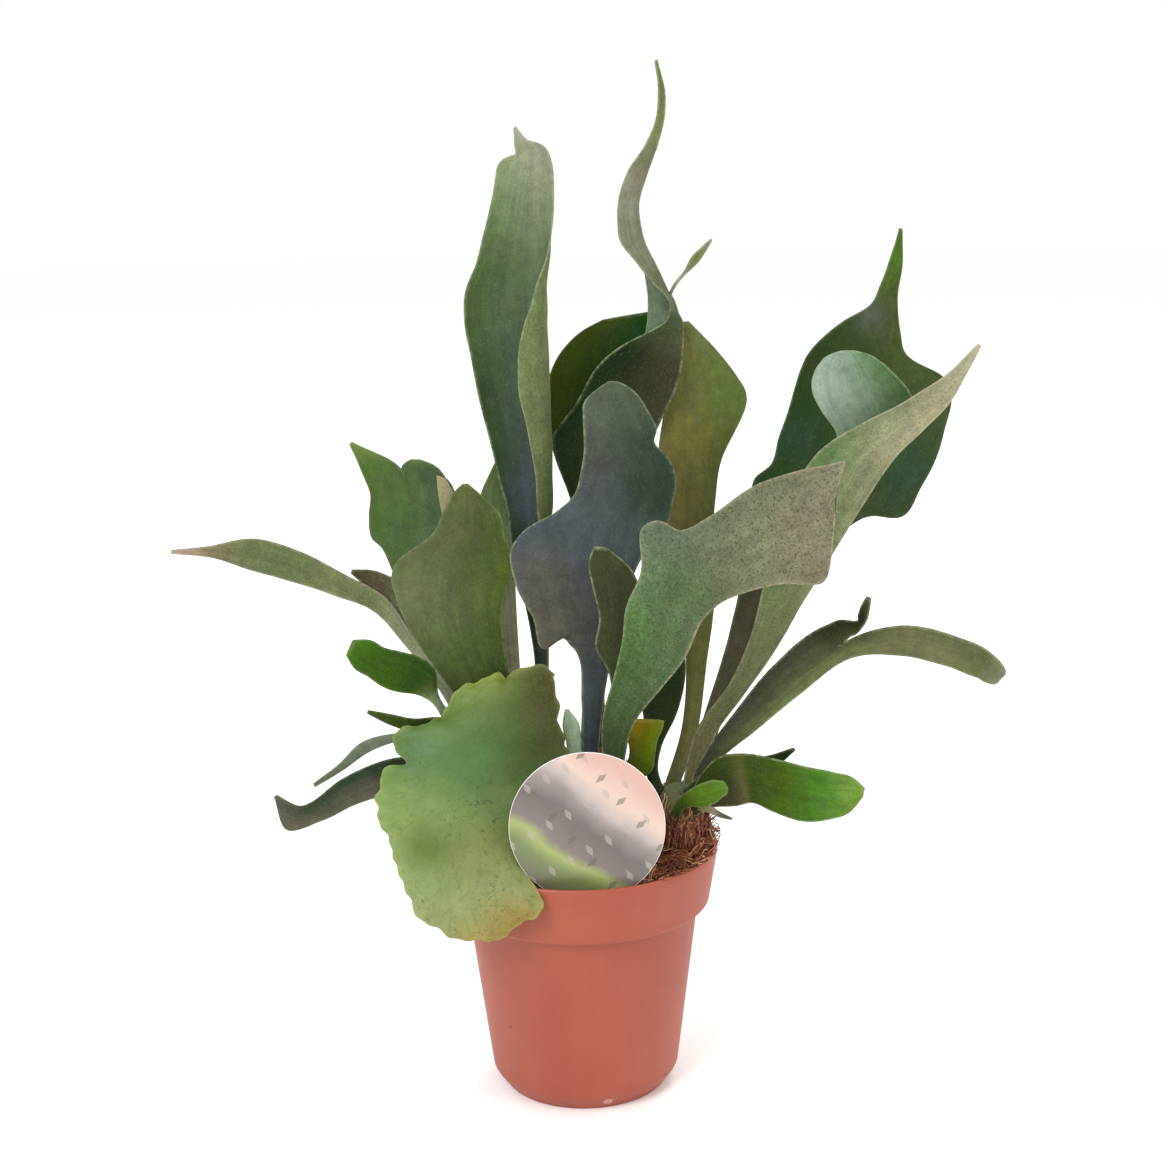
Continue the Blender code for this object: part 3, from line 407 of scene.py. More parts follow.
inward = add(fibre_tree, "ShaderNodeMath", {0: given["Reach"], 1: out}, operation="DIVIDE")
held = add(fibre_tree, "ShaderNodeMath", {0: inward, 1: 1.0}, operation="MINIMUM")
pulled = add(fibre_tree, "ShaderNodeVectorMath", {0: flat, "Scale": held}, operation="SCALE")
height = add(fibre_tree, "ShaderNodeCombineXYZ", {"Z": parts.outputs["Z"]})
kept = add(fibre_tree, "ShaderNodeVectorMath", {0: pulled, 1: height})
inside = add(fibre_tree, "GeometryNodeSetPosition", {"Geometry": bent, "Position": kept})
# They lie on the ground, or on the rim where they pass over it, and none rises far above it.
ground = add(fibre_tree, "GeometryNodeObjectInfo", {"Object": given["Ground"]})
high_up = add(fibre_tree, "ShaderNodeCombineXYZ", {
    "X": parts.outputs["X"], "Y": parts.outputs["Y"], "Z": DROP_FROM * MM})
drop = add(fibre_tree, "GeometryNodeRaycast", {
    "Target Geometry": ground.outputs["Geometry"], "Source Position": high_up,
    "Ray Direction": (0, 0, -1), "Ray Length": DROP_FROM * MM})
landed = add(fibre_tree, "ShaderNodeSeparateXYZ", {0: drop.outputs["Hit Position"]})
low = add(fibre_tree, "GeometryNodeSwitch", {
    0: drop.outputs["Is Hit"], 1: RIM_REST * MM, 2: landed.outputs["Z"]}, input_type="FLOAT")
over = add(fibre_tree, "ShaderNodeMath", {0: parts.outputs["Z"], 1: low}, operation="SUBTRACT")
over = add(fibre_tree, "ShaderNodeClamp", {0: over, 1: 0.1 * MM, 2: given["Above"]})
resting = add(fibre_tree, "ShaderNodeMath", {0: low, 1: over})
resting = add(fibre_tree, "ShaderNodeCombineXYZ", {
    "X": parts.outputs["X"], "Y": parts.outputs["Y"], "Z": resting})
inside = add(fibre_tree, "GeometryNodeSetPosition", {"Geometry": inside, "Position": resting})
# None comes through the label.
beside = add(fibre_tree, "ShaderNodeMath", {0: parts.outputs["X"], 1: -CARD_CENTRE[0] * MM})
beside = add(fibre_tree, "ShaderNodeMath", {0: beside}, operation="ABSOLUTE")
by_card = add(fibre_tree, "FunctionNodeCompare", {
    0: beside, 1: (CARD_RADIUS + CARD_GAP[0]) * MM}, operation="LESS_THAN")
back_of_card = add(fibre_tree, "ShaderNodeMath", {
    0: parts.outputs["Y"], 1: (CARD_CENTRE[1] + CARD_GAP[1]) * MM}, operation="MAXIMUM")
behind = add(fibre_tree, "ShaderNodeCombineXYZ", {
    "X": parts.outputs["X"], "Y": back_of_card, "Z": parts.outputs["Z"]})
inside = add(fibre_tree, "GeometryNodeSetPosition", {
    "Geometry": inside, "Selection": by_card, "Position": behind})
circle = add(fibre_tree, "GeometryNodeCurvePrimitiveCircle", {
    "Resolution": 4, "Radius": given["Thickness"]})
tubes = add(fibre_tree, "GeometryNodeCurveToMesh", {
    "Curve": inside, "Profile Curve": circle, "Fill Caps": True})
shown = add(fibre_tree, "GeometryNodeSetMaterial", {"Geometry": tubes, "Material": fibre})
add(fibre_tree, "NodeGroupOutput", {"Geometry": shown})

fibres = grown("coir_fibres", substrate.data, fibre_tree, {"Ground": substrate, "Seed": 3})
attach(fibres, "root")
# More of them hang over the rim where the soil is heaped.
x, y, z = soil_points.T
in_heap = (x > HEAP_LEFT) & (y < HEAP_BACK) & (z > SOIL_EDGE_Z - 1) & (np.hypot(x, y) > HEAP_INNER)
host = new_object("heap_host", soil_points, [f for f in soil_faces if in_heap[f[-1]]])
tuft = grown("heap_fibres", host.data, fibre_tree, {
    "Per square metre": 300000.0, "Length": 0.02, "Bend": 0.018, "Lift": 0.0016, "Reach": 0.0612,
    "Above": 0.0035, "Ground": substrate, "Seed": 8})
bpy.data.objects.remove(host)
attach(tuft, "root")

# The rhizomes: three scaly rootstocks, half sunk in the substrate, that carry the fronds.
# They are woody and covered with brown papery scales that lie upwards like roof tiles.
RHIZOME_SIDES = 64
RHIZOME_LEVELS = 40
SCALED_FROM = 100              # height at which the scales begin, just below the soil
BARE_FROM = 125                # the crown of the right-hand one has shed its scales
SHOULDERS = (114, 129)         # heights between which old fibres cling to it
YOUNG_SIDE = (27, 33)          # places in x between the middle one and it
SCALE_LENGTH = 6.0
SCALE_WIDTH = 1.1
SCALE_OUTLINE = [(0, 0.25), (0.25, 0.8), (0.5, 1.0), (0.75, 0.65), (1, 0.02)]   # along, and half width
SCALE_CURVE = 0.9              # how far its tip curves away
SCALE_THICKNESS = 0.24         # at its foot


def cushion_mesh(centre, radii):
    """A rounded rootstock with soft lumps: points from its lowest up, and faces."""
    profile = []
    for level in range(RHIZOME_LEVELS + 1):
        rise = -math.pi / 2 + math.pi * level / RHIZOME_LEVELS
        profile.append((max(math.cos(rise), 0) ** (2 / BLUNT),
                        math.copysign(abs(math.sin(rise)) ** (2 / BLUNT), math.sin(rise))))
    points, faces = turned_mesh(profile, RHIZOME_SIDES)
    points = np.array(points)
    turn = np.arctan2(points[:, 1], points[:, 0])
    lump = (1 + 0.025 * np.sin(3 * turn + 4 * points[:, 2]) * np.hypot(points[:, 0], points[:, 1])
            - 0.015 * (1 + np.sin(7 * turn - 9 * points[:, 2])))
    points[:, :2] *= lump[:, None]
    return points * radii + centre, [tuple(reversed(f)) for f in faces]


def young_crown(tree, place, low, high):
    """A mask that turns from 0 to 1 between two heights on the right-hand rootstock, the youngest."""
    parts = add(tree, "ShaderNodeSeparateXYZ", {0: place})
    rise = add(tree, "ShaderNodeMapRange", {
        "Value": parts.outputs["Z"], "From Min": low * MM, "From Max": high * MM})
    right = add(tree, "ShaderNodeMapRange", {
        "Value": parts.outputs["X"], "From Min": YOUNG_SIDE[0] * MM, "From Max": YOUNG_SIDE[1] * MM})
    return add(tree, "ShaderNodeMath", {0: rise, 1: right}, operation="MULTIPLY")


# Rootstock bark: dull dark brown, rough at 2 mm, still green on the crown of the right-hand one.
rootstock, tree = new_material("rootstock bark")
place = add(tree, "ShaderNodeTexCoord").outputs["Object"]
bark = add(tree, "ShaderNodeTexNoise", {"Vector": place, "Scale": 1 / (2 * MM), "Detail": 4.0})
brown = add(tree, "ShaderNodeMix", {0: bark, 6: "#22160e", 7: "#5a3d26"}, data_type="RGBA")
green = add(tree, "ShaderNodeMix", {0: bark, 6: "#3f4424", 7: "#626840"}, data_type="RGBA")
colour = add(tree, "ShaderNodeMix", {
    0: young_crown(tree, place, 122, 128), 6: brown, 7: green}, data_type="RGBA")
bump = add(tree, "ShaderNodeBump", {"Height": bark, "Strength": 0.7, "Distance": 0.5 * MM})
shader = add(tree, "ShaderNodeBsdfPrincipled", {"Base Color": colour, "Roughness": 0.85, "Normal": bump})
add(tree, "ShaderNodeOutputMaterial", {"Surface": shader})

# Papery scales: thin and dry, fox brown, the highest of the right-hand rootstock still greenish.
papery, tree = new_material("papery rhizome scale")
place = add(tree, "ShaderNodeTexCoord").outputs["Object"]
tone = add(tree, "ShaderNodeAttribute", attribute_name="tone").outputs["Fac"]
brown = add(tree, "ShaderNodeMix", {0: tone, 6: "#542713", 7: "#935236"}, data_type="RGBA")
green = add(tree, "ShaderNodeMix", {0: tone, 6: "#33381c", 7: "#5c6238"}, data_type="RGBA")
colour = add(tree, "ShaderNodeMix", {
    0: young_crown(tree, place, 124, 131), 6: brown, 7: green}, data_type="RGBA")
shader = add(tree, "ShaderNodeBsdfPrincipled", {"Base Color": colour, "Roughness": 0.7})
add(tree, "ShaderNodeOutputMaterial", {"Surface": shader})

# One scale, a thin lance shape that curves away from the rootstock towards its tip.
scale_points = []
for side in (SCALE_THICKNESS / 2, -SCALE_THICKNESS / 2):
    for along, half in SCALE_OUTLINE:
        curve = SCALE_CURVE * along ** 2 + side * (1 - along)
        scale_points += [(along * SCALE_LENGTH, -half * SCALE_WIDTH / 2, curve),
                         (along * SCALE_LENGTH, half * SCALE_WIDTH / 2, curve)]
low = 2 * len(SCALE_OUTLINE)   # its under side's points come after those of its upper side
scale_faces = []
for a in range(0, low - 2, 2):
    b, c, d = a + 2, a + 3, a + 1
    scale_faces += [(a, b, c, d), (low + d, low + c, low + b, low + a), (b, a, low + a, low + b),
                    (d, c, low + c, low + d)]
scale_faces += [(1, low + 1, low, 0), (low - 2, 2 * low - 2, 2 * low - 1, low - 1)]
scale = new_object("papery_scale", scale_points, scale_faces, [papery])

scale_tree, given = new_growth("rhizome scales", {
    "Scale": ("Object", None), "Spacing": ("Float", 0.0014), "Seed": ("Int", 2)})
seeds = add(scale_tree, "GeometryNodeDistributePointsOnFaces", {
    "Mesh": given["Geometry"], "Distance Min": given["Spacing"], "Density Max": 400000.0,
    "Seed": given["Seed"]}, distribute_method="POISSON")
standing = add(scale_tree, "FunctionNodeAlignRotationToVector", {
    "Rotation": seeds.outputs["Rotation"], "Vector": (0, 0, 1)}, axis="X", pivot_axis="Z")
tilt = add(scale_tree, "FunctionNodeRandomValue", {2: -0.7, 3: -0.1, "Seed": 4}, data_type="FLOAT")
twist = add(scale_tree, "FunctionNodeRandomValue", {2: -0.6, 3: 0.6, "Seed": 8}, data_type="FLOAT")
lean = add(scale_tree, "ShaderNodeCombineXYZ", {"Y": tilt, "Z": twist})
leaned = add(scale_tree, "FunctionNodeEulerToRotation", {0: lean})
placed = add(scale_tree, "FunctionNodeRotateRotation", {
    "Rotation": standing, "Rotate By": leaned}, rotation_space="LOCAL")
size = add(scale_tree, "FunctionNodeRandomValue", {2: 0.6, 3: 1.25, "Seed": 6}, data_type="FLOAT")
one = add(scale_tree, "GeometryNodeObjectInfo", {"Object": given["Scale"]})
laid = add(scale_tree, "GeometryNodeInstanceOnPoints", {
    "Points": seeds.outputs["Points"], "Instance": one.outputs["Geometry"], "Rotation": placed,
    "Scale": size})
tone_of = add(scale_tree, "FunctionNodeRandomValue", {2: 0.0, 3: 1.0, "Seed": 9}, data_type="FLOAT")
toned = add(scale_tree, "GeometryNodeStoreNamedAttribute", {
    "Geometry": laid, "Name": "tone", "Value": tone_of}, domain="INSTANCE", data_type="FLOAT")
real = add(scale_tree, "GeometryNodeRealizeInstances", {"Geometry": toned})
shown = add(scale_tree, "GeometryNodeSetMaterial", {"Geometry": real, "Material": papery})
add(scale_tree, "NodeGroupOutput", {"Geometry": shown})

for name, (centre, radii) in RHIZOMES.items():
    points, faces = cushion_mesh(centre, radii)
    rhizome = new_object(name + "_rootstock", points, faces, [rootstock])
    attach(rhizome, "root")
    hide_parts(name)
    scaled_to = BARE_FROM if name == "rhizome_right" else math.inf
    scaled = [f for f in faces if SCALED_FROM < points[list(f), 2].min() < scaled_to]
    host = new_object(name + "_host", points, scaled)
    scales = grown(name + "_scales", host.data, scale_tree, {"Scale": scale})
    bpy.data.objects.remove(host)
    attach(scales, "root")
# Coir and old roots lie over the shoulders of the right-hand one, the last made.
shoulders = [f for f in faces if SHOULDERS[0] < points[list(f), 2].min() < SHOULDERS[1]]
host = new_object("crown_host", points, shoulders)
strands = grown("crown_fibres", host.data, fibre_tree, {
    "Per square metre": 420000.0, "Facing": -0.1, "Length": 0.012, "Bend": 0.012, "Lift": 0.0016,
    "Reach": 0.0612, "Above": 0.0025, "Ground": rhizome, "Seed": 15})
bpy.data.objects.remove(host)
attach(strands, "root")
bpy.data.objects.remove(scale)

# The fronds: leathery blades, 0.9 mm thick, on stalks up to 6 mm wide, each grown in one
# piece from its rhizome. They are green above and felted with pale star hairs
# below.
BLADE = 0.9
THIN_MARGIN = 0.75             # share of that at a margin
ROUND_MARGIN = 0.4             # how far a margin is rounded out, in thicknesses
TAPER = 70.0                   # length over which a stalk thins to its blade
ROW = 2.0                      # distance between rows
QUARTER = 8                    # columns in each quarter of a blade
TIP_ROWS = 8                   # fewest rows in a blunt tip
CURL_STEPS = 24                # steps in which a curled margin bends
WAVE = 0.3                     # how far a margin waves in and out
WAVE_FROM = 40.0               # the waves begin here, past the stalk's foot
WAVE_FULL = 60.0               # and are full this much farther on
PALE_EDGE = 0.4                # width of the pale line along a margin
LEAF_LIGHT = 0.60              # how much of a tone seen in daylight is the leaf's own
GLOSS = 0.009                  # and how much is the light's own reflection
DARKEST = 0.15                 # least share of a tone that is kept
FRONT = np.array((0.0, -1.0, 0.0))


def stem(at, wide, curl=None, lag=None):
    """A row by its middle and its half width, or its two. Its halves may curl forwards by so many
    degrees, or lag behind it at the margins."""
    wide = (wide, wide) if np.isscalar(wide) else wide
    return dict(at=np.array(at, float), wide=wide, curl=curl, lag=lag or (0, 0))


def rib(left, right, bow=0.0, dip=0.0):
    """A row by its two margins. Its middle may bow back or dip towards the foot."""
    left = np.array(left, float)
    right = np.array(right, float)
    return dict(at=(left + right) / 2, half=(right - left) / 2, bow=bow, dip=dip)


def unit(v):
    """Vectors of length 1 in the same directions."""
    return v / np.maximum(np.linalg.norm(v, axis=-1, keepdims=True), 1e-12)


def spread(columns):
    """Places across a strip from -1 to 1, closer together at each quarter's ends."""
    quarter, step = np.divmod(np.arange(columns + 1), QUARTER)
    return 2 * (quarter + (1 - np.cos(np.pi * step / QUARTER)) / 2) / (columns // QUARTER) - 1


def arc(turn, reach):
    """Out and up, in widths, of a margin that bends through turn as it goes out."""
    if reach == 0:
        return 0.0, 0.0
    angles = turn * ((np.arange(CURL_STEPS) + 0.5) / CURL_STEPS * reach) ** 1.5
    return float(np.cos(angles).mean() * reach), float(np.sin(angles).mean() * reach)


def row_points(knot, along, curl, columns):
    """The points of one row across a blade that runs along."""
    across = spread(columns)
    normal = unit(FRONT - np.dot(FRONT, along) * along)
    if "half" in knot:
        bowed = unit(np.cross(knot["half"], along))
        if np.dot(bowed, normal) < 0:
            bowed = -bowed
        middle = (1 - across ** 2)[:, None]
        return (knot["at"] + across[:, None] * knot["half"]
                - middle * knot["bow"] * bowed - middle * knot["dip"] * along)
    sideways = np.cross(along, normal)
    out = []
    for a in across:
        side = 0 if a < 0 else 1
        reach, rise = arc(math.radians(curl[side]), abs(a))
        width = knot["wide"][side]
        out.append(knot["at"] + math.copysign(reach * width, a) * sideways + rise * width * normal
                   - knot["lag"][side] * abs(a) ** 1.6 * along)
    return np.array(out)


def knot_rows(knots, columns):
    """The rows at the knots, and how far along each one is. A curl goes on until the next one."""
    at = np.array([k["at"] for k in knots])
    rows, curl = [], (0, 0)
    for i, knot in enumerate(knots):
        along = unit(at[min(i + 1, len(at) - 1)] - at[max(i - 1, 0)])
        curl = knot.get("curl") or curl
        rows.append(row_points(knot, along, curl, columns))
    lengths = np.linalg.norm(np.diff(at, axis=0), axis=1)
    return np.array(rows), np.concatenate([[0], np.cumsum(lengths)])


def smooth_rows(stations, rows, start, end, blunt, gap):
    """Cubic curves through the rows, column by column, and how far along each new row is."""
    spans = np.diff(stations)
    slopes = np.diff(rows, axis=0) / spans[:, None, None]
    before, after = spans[:-1, None, None], spans[1:, None, None]
    inner = (slopes[:-1] * after + slopes[1:] * before) / (before + after)
    tangents = np.concatenate([[slopes[0] if start is None else start], inner, [end]])
    grid, wanted = [], []
    for i, span in enumerate(spans):
        last = i == len(spans) - 1
        steps = max(1, math.ceil(span / gap))
        if blunt and last:
            steps = max(TIP_ROWS, 2 * steps)
        for k in range(steps + last):
            t = k / steps
            if blunt and last:
                t = math.sin(math.pi / 2 * t)
            line = ((2 * t ** 3 - 3 * t ** 2 + 1) * rows[i] + (t ** 3 - 2 * t ** 2 + t) * span * tangents[i]
                    + (3 * t ** 2 - 2 * t ** 3) * rows[i + 1] + (t ** 3 - t ** 2) * span * tangents[i + 1])
            if blunt and last and t > 0:
                line = rows[-1] + (rows[-2] - rows[-1]) * math.sqrt(max(1 - t * t, 0))
                line = line - line.mean(0) + rows[-1].mean(0) * t + rows[-2].mean(0) * (1 - t)
            grid.append(line)
            wanted.append(stations[i] + t * span)
    return np.array(grid), np.array(wanted)


def frond_sheet(frond, columns, gap):
    """The middle sheet of a frond and its lobes: points, how far along and across each is, and faces."""
    points, faces = [], []

    def grow(part, rows, stations, base, start, travelled, left, right):
        """Adds one lobe and those on it. base and start are the row and slope that it grows from."""
        columns = rows.shape[1] - 1
        before = stations[-1] - stations[-2]
        end = (rows[-1] - rows[-2]) / before
        straight = end.copy()
        lobes = []
        for first, last, lobe in part.get("lobes", ()):
            first, last = round(first * columns), round(last * columns)
            knots = [rib(rows[-1][first], rows[-1][last])] + lobe["knots"]
            lobe_rows, lobe_stations = knot_rows(knots, last - first)
            lobe_rows[0] = rows[-1][first:last + 1]
            ahead = lobe_stations[1]
            onward = (lobe_rows[1] - lobe_rows[0]) / ahead
            mixed = (straight[first:last + 1] * ahead + onward * before) / (before + ahead)
            low, high = (0 if first == 0 else 1), (None if last == columns else -1)
            end[first:last + 1][low:high] = mixed[low:high]
            lobes.append((lobe, lobe_rows, lobe_stations, first, last))
        grid, wanted = smooth_rows(stations, rows, start, end, part.get("blunt"), gap)
        side = left + (right - left) * (spread(columns) + 1) / 2
        index = []
        for i, line in enumerate(grid):
            if i == 0 and base is not None:
                index.append(base)
                continue
            index.append(list(range(len(points), len(points) + columns + 1)))
            points.extend((*p, travelled + wanted[i], s) for p, s in zip(line, side))
        for i in range(len(index) - 1):
            faces.extend((index[i][j], index[i][j + 1], index[i + 1][j + 1], index[i + 1][j])
                         for j in range(columns))
        for lobe, lobe_rows, lobe_stations, first, last in lobes:
            grow(lobe, lobe_rows, lobe_stations, index[-1][first:last + 1], end[first:last + 1],
                 travelled + stations[-1], side[first], side[last])

    rows, stations = knot_rows(frond["knots"], columns)
    grow(frond, rows, stations, None, None, 0.0, -1.0, 1.0)
    sheet = np.array(points)
    return sheet[:, :3], sheet[:, 3], sheet[:, 4], np.array(faces)


def leaned_back(points, along, frond):
    """Slides the points along lines to the eye, so their outline seen from there stays the same."""
    back = (frond.get("lean", 0) * along ** 1.6
            + frond.get("turn", 0) * (points[:, 0] - frond["knots"][0]["at"][0]))
    return points + (points - EYE) * (back / (points[:, 1] - EYE[1]))[:, None]


def sheet_normals(points, faces):
    """The normal at each point, from the faces round it."""
    a, b, c, d = points[faces.T]
    crossing = np.cross(c - a, d - b)
    normals = np.zeros_like(points)
    for corner in range(4):
        np.add.at(normals, faces[:, corner], crossing)
    return unit(normals)


def margin_of(faces, count):
    """The edges with a face on one side only, in the direction of that face."""
    ends = np.concatenate([faces[:, [k, (k + 1) % 4]] for k in range(4)])
    codes = ends[:, 0] * count + ends[:, 1]
    return ends[~np.isin(codes, ends[:, 1] * count + ends[:, 0])]


def from_margin(points, ring):
    """How far each point is from the nearest one on the margin."""
    return np.concatenate([np.sqrt(((some[:, None] - points[ring][None]) ** 2).sum(2)).min(1)
                           for some in np.array_split(points, 40)])


def shell(points, normals, faces, thick):
    """A closed shell round a sheet, its margin rounded off: points of the front, the back and the
    margin, faces, which points have a margin, and the way out from each."""
    count = len(points)
    edges = margin_of(faces, count)
    outward = np.zeros_like(points)
    for end in (0, 1):
        np.add.at(outward, edges[:, end],
                  np.cross(unit(points[edges[:, 1]] - points[edges[:, 0]]), normals[edges[:, end]]))
    ring = np.unique(edges)
    outward = unit(outward[ring])
    place = np.zeros(count, int)
    place[ring] = 2 * count + np.arange(len(ring))
    lift = normals * thick[:, None] / 2
    solid = np.concatenate([points + lift, points - lift,
                            points[ring] + outward * thick[ring, None] * ROUND_MARGIN])
    a, b = edges[:, 0], edges[:, 1]
    rim = np.concatenate([np.stack([b, a, place[a], place[b]], 1),
                          np.stack([place[b], place[a], a + count, b + count], 1)])
    return solid, np.concatenate([faces, faces[:, ::-1] + count, rim]), ring, outward


def tone_map(stops, along, side):
    """Colour from stops of how far along, then the colour at the left and at the right margin."""
    where = [s[0] for s in stops]
    left = np.array([linear(s[1]) for s in stops])
    right = np.array([linear(s[-1]) for s in stops])
    share = np.clip((side + 1) / 2, 0, 1)
    share = share * share * (3 - 2 * share)
    return np.stack([np.interp(along, where, left[:, channel]) * (1 - share)
                     + np.interp(along, where, right[:, channel]) * share for channel in range(3)], 1)


def patched(colours, drawn, side, patches):
    """Lays soft patches over the colours: place in x and z, radius, colour and strength, and at
    times the half that it keeps to, -1 or 1."""
    for x, z, radius, code, strength, *half in patches:
        share = strength * np.exp(-((drawn[:, 0] - x) ** 2 + (drawn[:, 2] - z) ** 2) / radius ** 2)
        if half:
            share = share * np.clip(0.5 + 8 * side * half[0], 0, 1)
        colours = colours + share[:, None] * (np.array(linear(code)) - colours)
    return colours


def store(mesh, label, values):
    """Keeps a number, a direction or a colour for each point: 1, 3 or 4 columns of values."""
    values = np.asarray(values, np.float32).reshape(len(values), -1)
    kinds = {1: ("FLOAT", "value"), 3: ("FLOAT_VECTOR", "vector"), 4: ("FLOAT_COLOR", "color")}
    kind, field = kinds[values.shape[1]]
    mesh.attributes.new(label, kind, "POINT").data.foreach_set(field, values.ravel())


# Upper side: a leathery green skin, IOR 1.45, near 0.55 roughness under a thin bloom of hairs,
# mottled at 4 mm with sparse pale specks of 1 mm. Under side: a felt of star hairs 0.8 mm
# across, in places rubbed off in dark curling strokes 1 to 3 mm long. Veins run 1.6 mm apart,
# broad ridges 6 mm apart, and blotches are 12 to 30 mm wide.
def frond_skin(name, vein, bloom, stroke, speck, rough, gloss, sheen, edge_code):
    """vein, bloom, stroke and speck are how strongly those marks show."""
    made, tree = new_material(name)
    place = add(tree, "ShaderNodeTexCoord").outputs["Object"]
    tint = add(tree, "ShaderNodeAttribute", attribute_name="tint").outputs["Color"]
    edge = add(tree, "ShaderNodeAttribute", attribute_name="edge").outputs["Fac"]
    grain = add(tree, "ShaderNodeUVMap", uv_map="grain")
    # The grain map has 100 mm to a unit. Veins and ridges are drawn out along the blade.
    veined = add(tree, "ShaderNodeMapping", {"Vector": grain, "Scale": (100 / 1.6, 100 / 30, 1)})
    ridged = add(tree, "ShaderNodeMapping", {"Vector": grain, "Scale": (100 / 6, 100 / 70, 1)})
    # Each mark: its place, width in mm and detail, the part of the noise used, and what it becomes.
    patterns, marks = {}, {}
    for mark, vector, width, detail, low, high, least, most in (
            ("veins", veined, 1000, 2.0, 0.3, 0.7, 1 - vein, 1 + vein),
            ("ridges", ridged, 1000, 1.0, 0.32, 0.68, 0.90, 1.10),
            ("blotches", place, 12, 5.0, 0.32, 0.68, 0.90, 1.10),
            ("broad blotches", place, 30, 2.0, 0.32, 0.68, 0.93, 1.07),
            ("mottle", place, 4, 3.0, 0.32, 0.68, 0.88, 1.12),
            ("bloom", place, 0.8, 3.0, 0.32, 0.68, 1 - bloom, 1 + bloom),
            ("hue", place, 16, 4.0, 0.3, 0.7, 0.492, 0.508),
            ("depth", place, 9, 3.0, 0.3, 0.7, 0.94, 1.06),
            ("where stroked", place, 1.2, 1.0, 0.46, 0.56, 0, stroke),
            ("specks", place, 1.0, 2.0, 0.6, 0.72, 0, speck),
            ("rubbed edge", place, 2.2, 3.0, 0.38, 0.6, 0.25, 1.3)):
        patterns[mark] = add(tree, "ShaderNodeTexNoise", {
            "Vector": vector, "Scale": 1 / (width * MM), "Detail": detail})
        marks[mark] = add(tree, "ShaderNodeMapRange", {
            "Value": patterns[mark], "From Min": low, "From Max": high, "To Min": least, "To Max": most})
    # A stroke follows the line where another noise crosses its middle value.
    curls = add(tree, "ShaderNodeTexNoise", {"Vector": place, "Scale": 1 / (1.5 * MM), "Detail": 1.0})
    curls = add(tree, "ShaderNodeMath", {0: curls, 1: 0.5}, operation="SUBTRACT")
    curls = add(tree, "ShaderNodeMath", {0: curls, 1: 0.0}, operation="ABSOLUTE")
    curls = add(tree, "ShaderNodeMapRange", {"Value": curls, "From Min": 0.055, "From Max": 0.02})
    strokes = add(tree, "ShaderNodeMath", {0: curls, 1: marks["where stroked"]}, operation="MULTIPLY")
    rubbed = add(tree, "ShaderNodeMath", {0: edge, 1: marks["rubbed edge"]}, operation="MULTIPLY")
    tone = marks["veins"]
    for mark in ("ridges", "blotches", "broad blotches", "mottle", "bloom"):
        tone = add(tree, "ShaderNodeMath", {0: tone, 1: marks[mark]}, operation="MULTIPLY")
    colour = add(tree, "ShaderNodeHueSaturation", {
        "Hue": marks["hue"], "Saturation": marks["depth"], "Value": tone, "Color": tint})
    for share, code in ((strokes, "#38452a"), (marks["specks"], "#7c8a6a"), (rubbed, edge_code)):
        colour = add(tree, "ShaderNodeMix", {0: share, 6: colour, 7: code}, data_type="RGBA")
    relief = add(tree, "ShaderNodeMath", {0: patterns["veins"], 1: patterns["bloom"]})
    relief = add(tree, "ShaderNodeMath", {0: relief, 1: strokes}, operation="SUBTRACT")
    roughness = add(tree, "ShaderNodeMapRange", {
        "Value": patterns["bloom"], "From Min": 0.3, "From Max": 0.7, "To Min": rough - 0.08,
        "To Max": rough + 0.1})
    bump = add(tree, "ShaderNodeBump", {"Height": relief, "Strength": 0.4, "Distance": 0.25 * MM})
    shader = add(tree, "ShaderNodeBsdfPrincipled", {
        "Base Color": colour, "Roughness": roughness, "IOR": 1.45, "Normal": bump,
        "Specular IOR Level": gloss, "Sheen Weight": sheen, "Sheen Roughness": 0.5, "Sheen Tint": "#dfe6d2"})
    add(tree, "ShaderNodeOutputMaterial", {"Surface": shader})
    return made


upper_skin = frond_skin("leathery frond skin", 0.08, 0.12, 0.0, 0.12, 0.55, 0.14, 0.03, "#8f9a72")
felt_skin = frond_skin("felted frond underside", 0.05, 0.18, 0.3, 0.25, 0.8, 0.06, 0.12, "#a39a80")
rubbed_felt = frond_skin("felt rubbed off in strokes", 0.05, 0.18, 0.8, 0.25, 0.8, 0.06, 0.12, "#a39a80")
margins = []                   # where the loose hairs stand


def surface_colour(tones, light):
    """The surface's colour under a tone seen in daylight, scaled by light: painted light above 1, painted
    shade below 1.
    """
    tones = np.maximum(tones - GLOSS, DARKEST * tones)
    return np.clip(tones * LEAF_LIGHT * light, 0, 1)


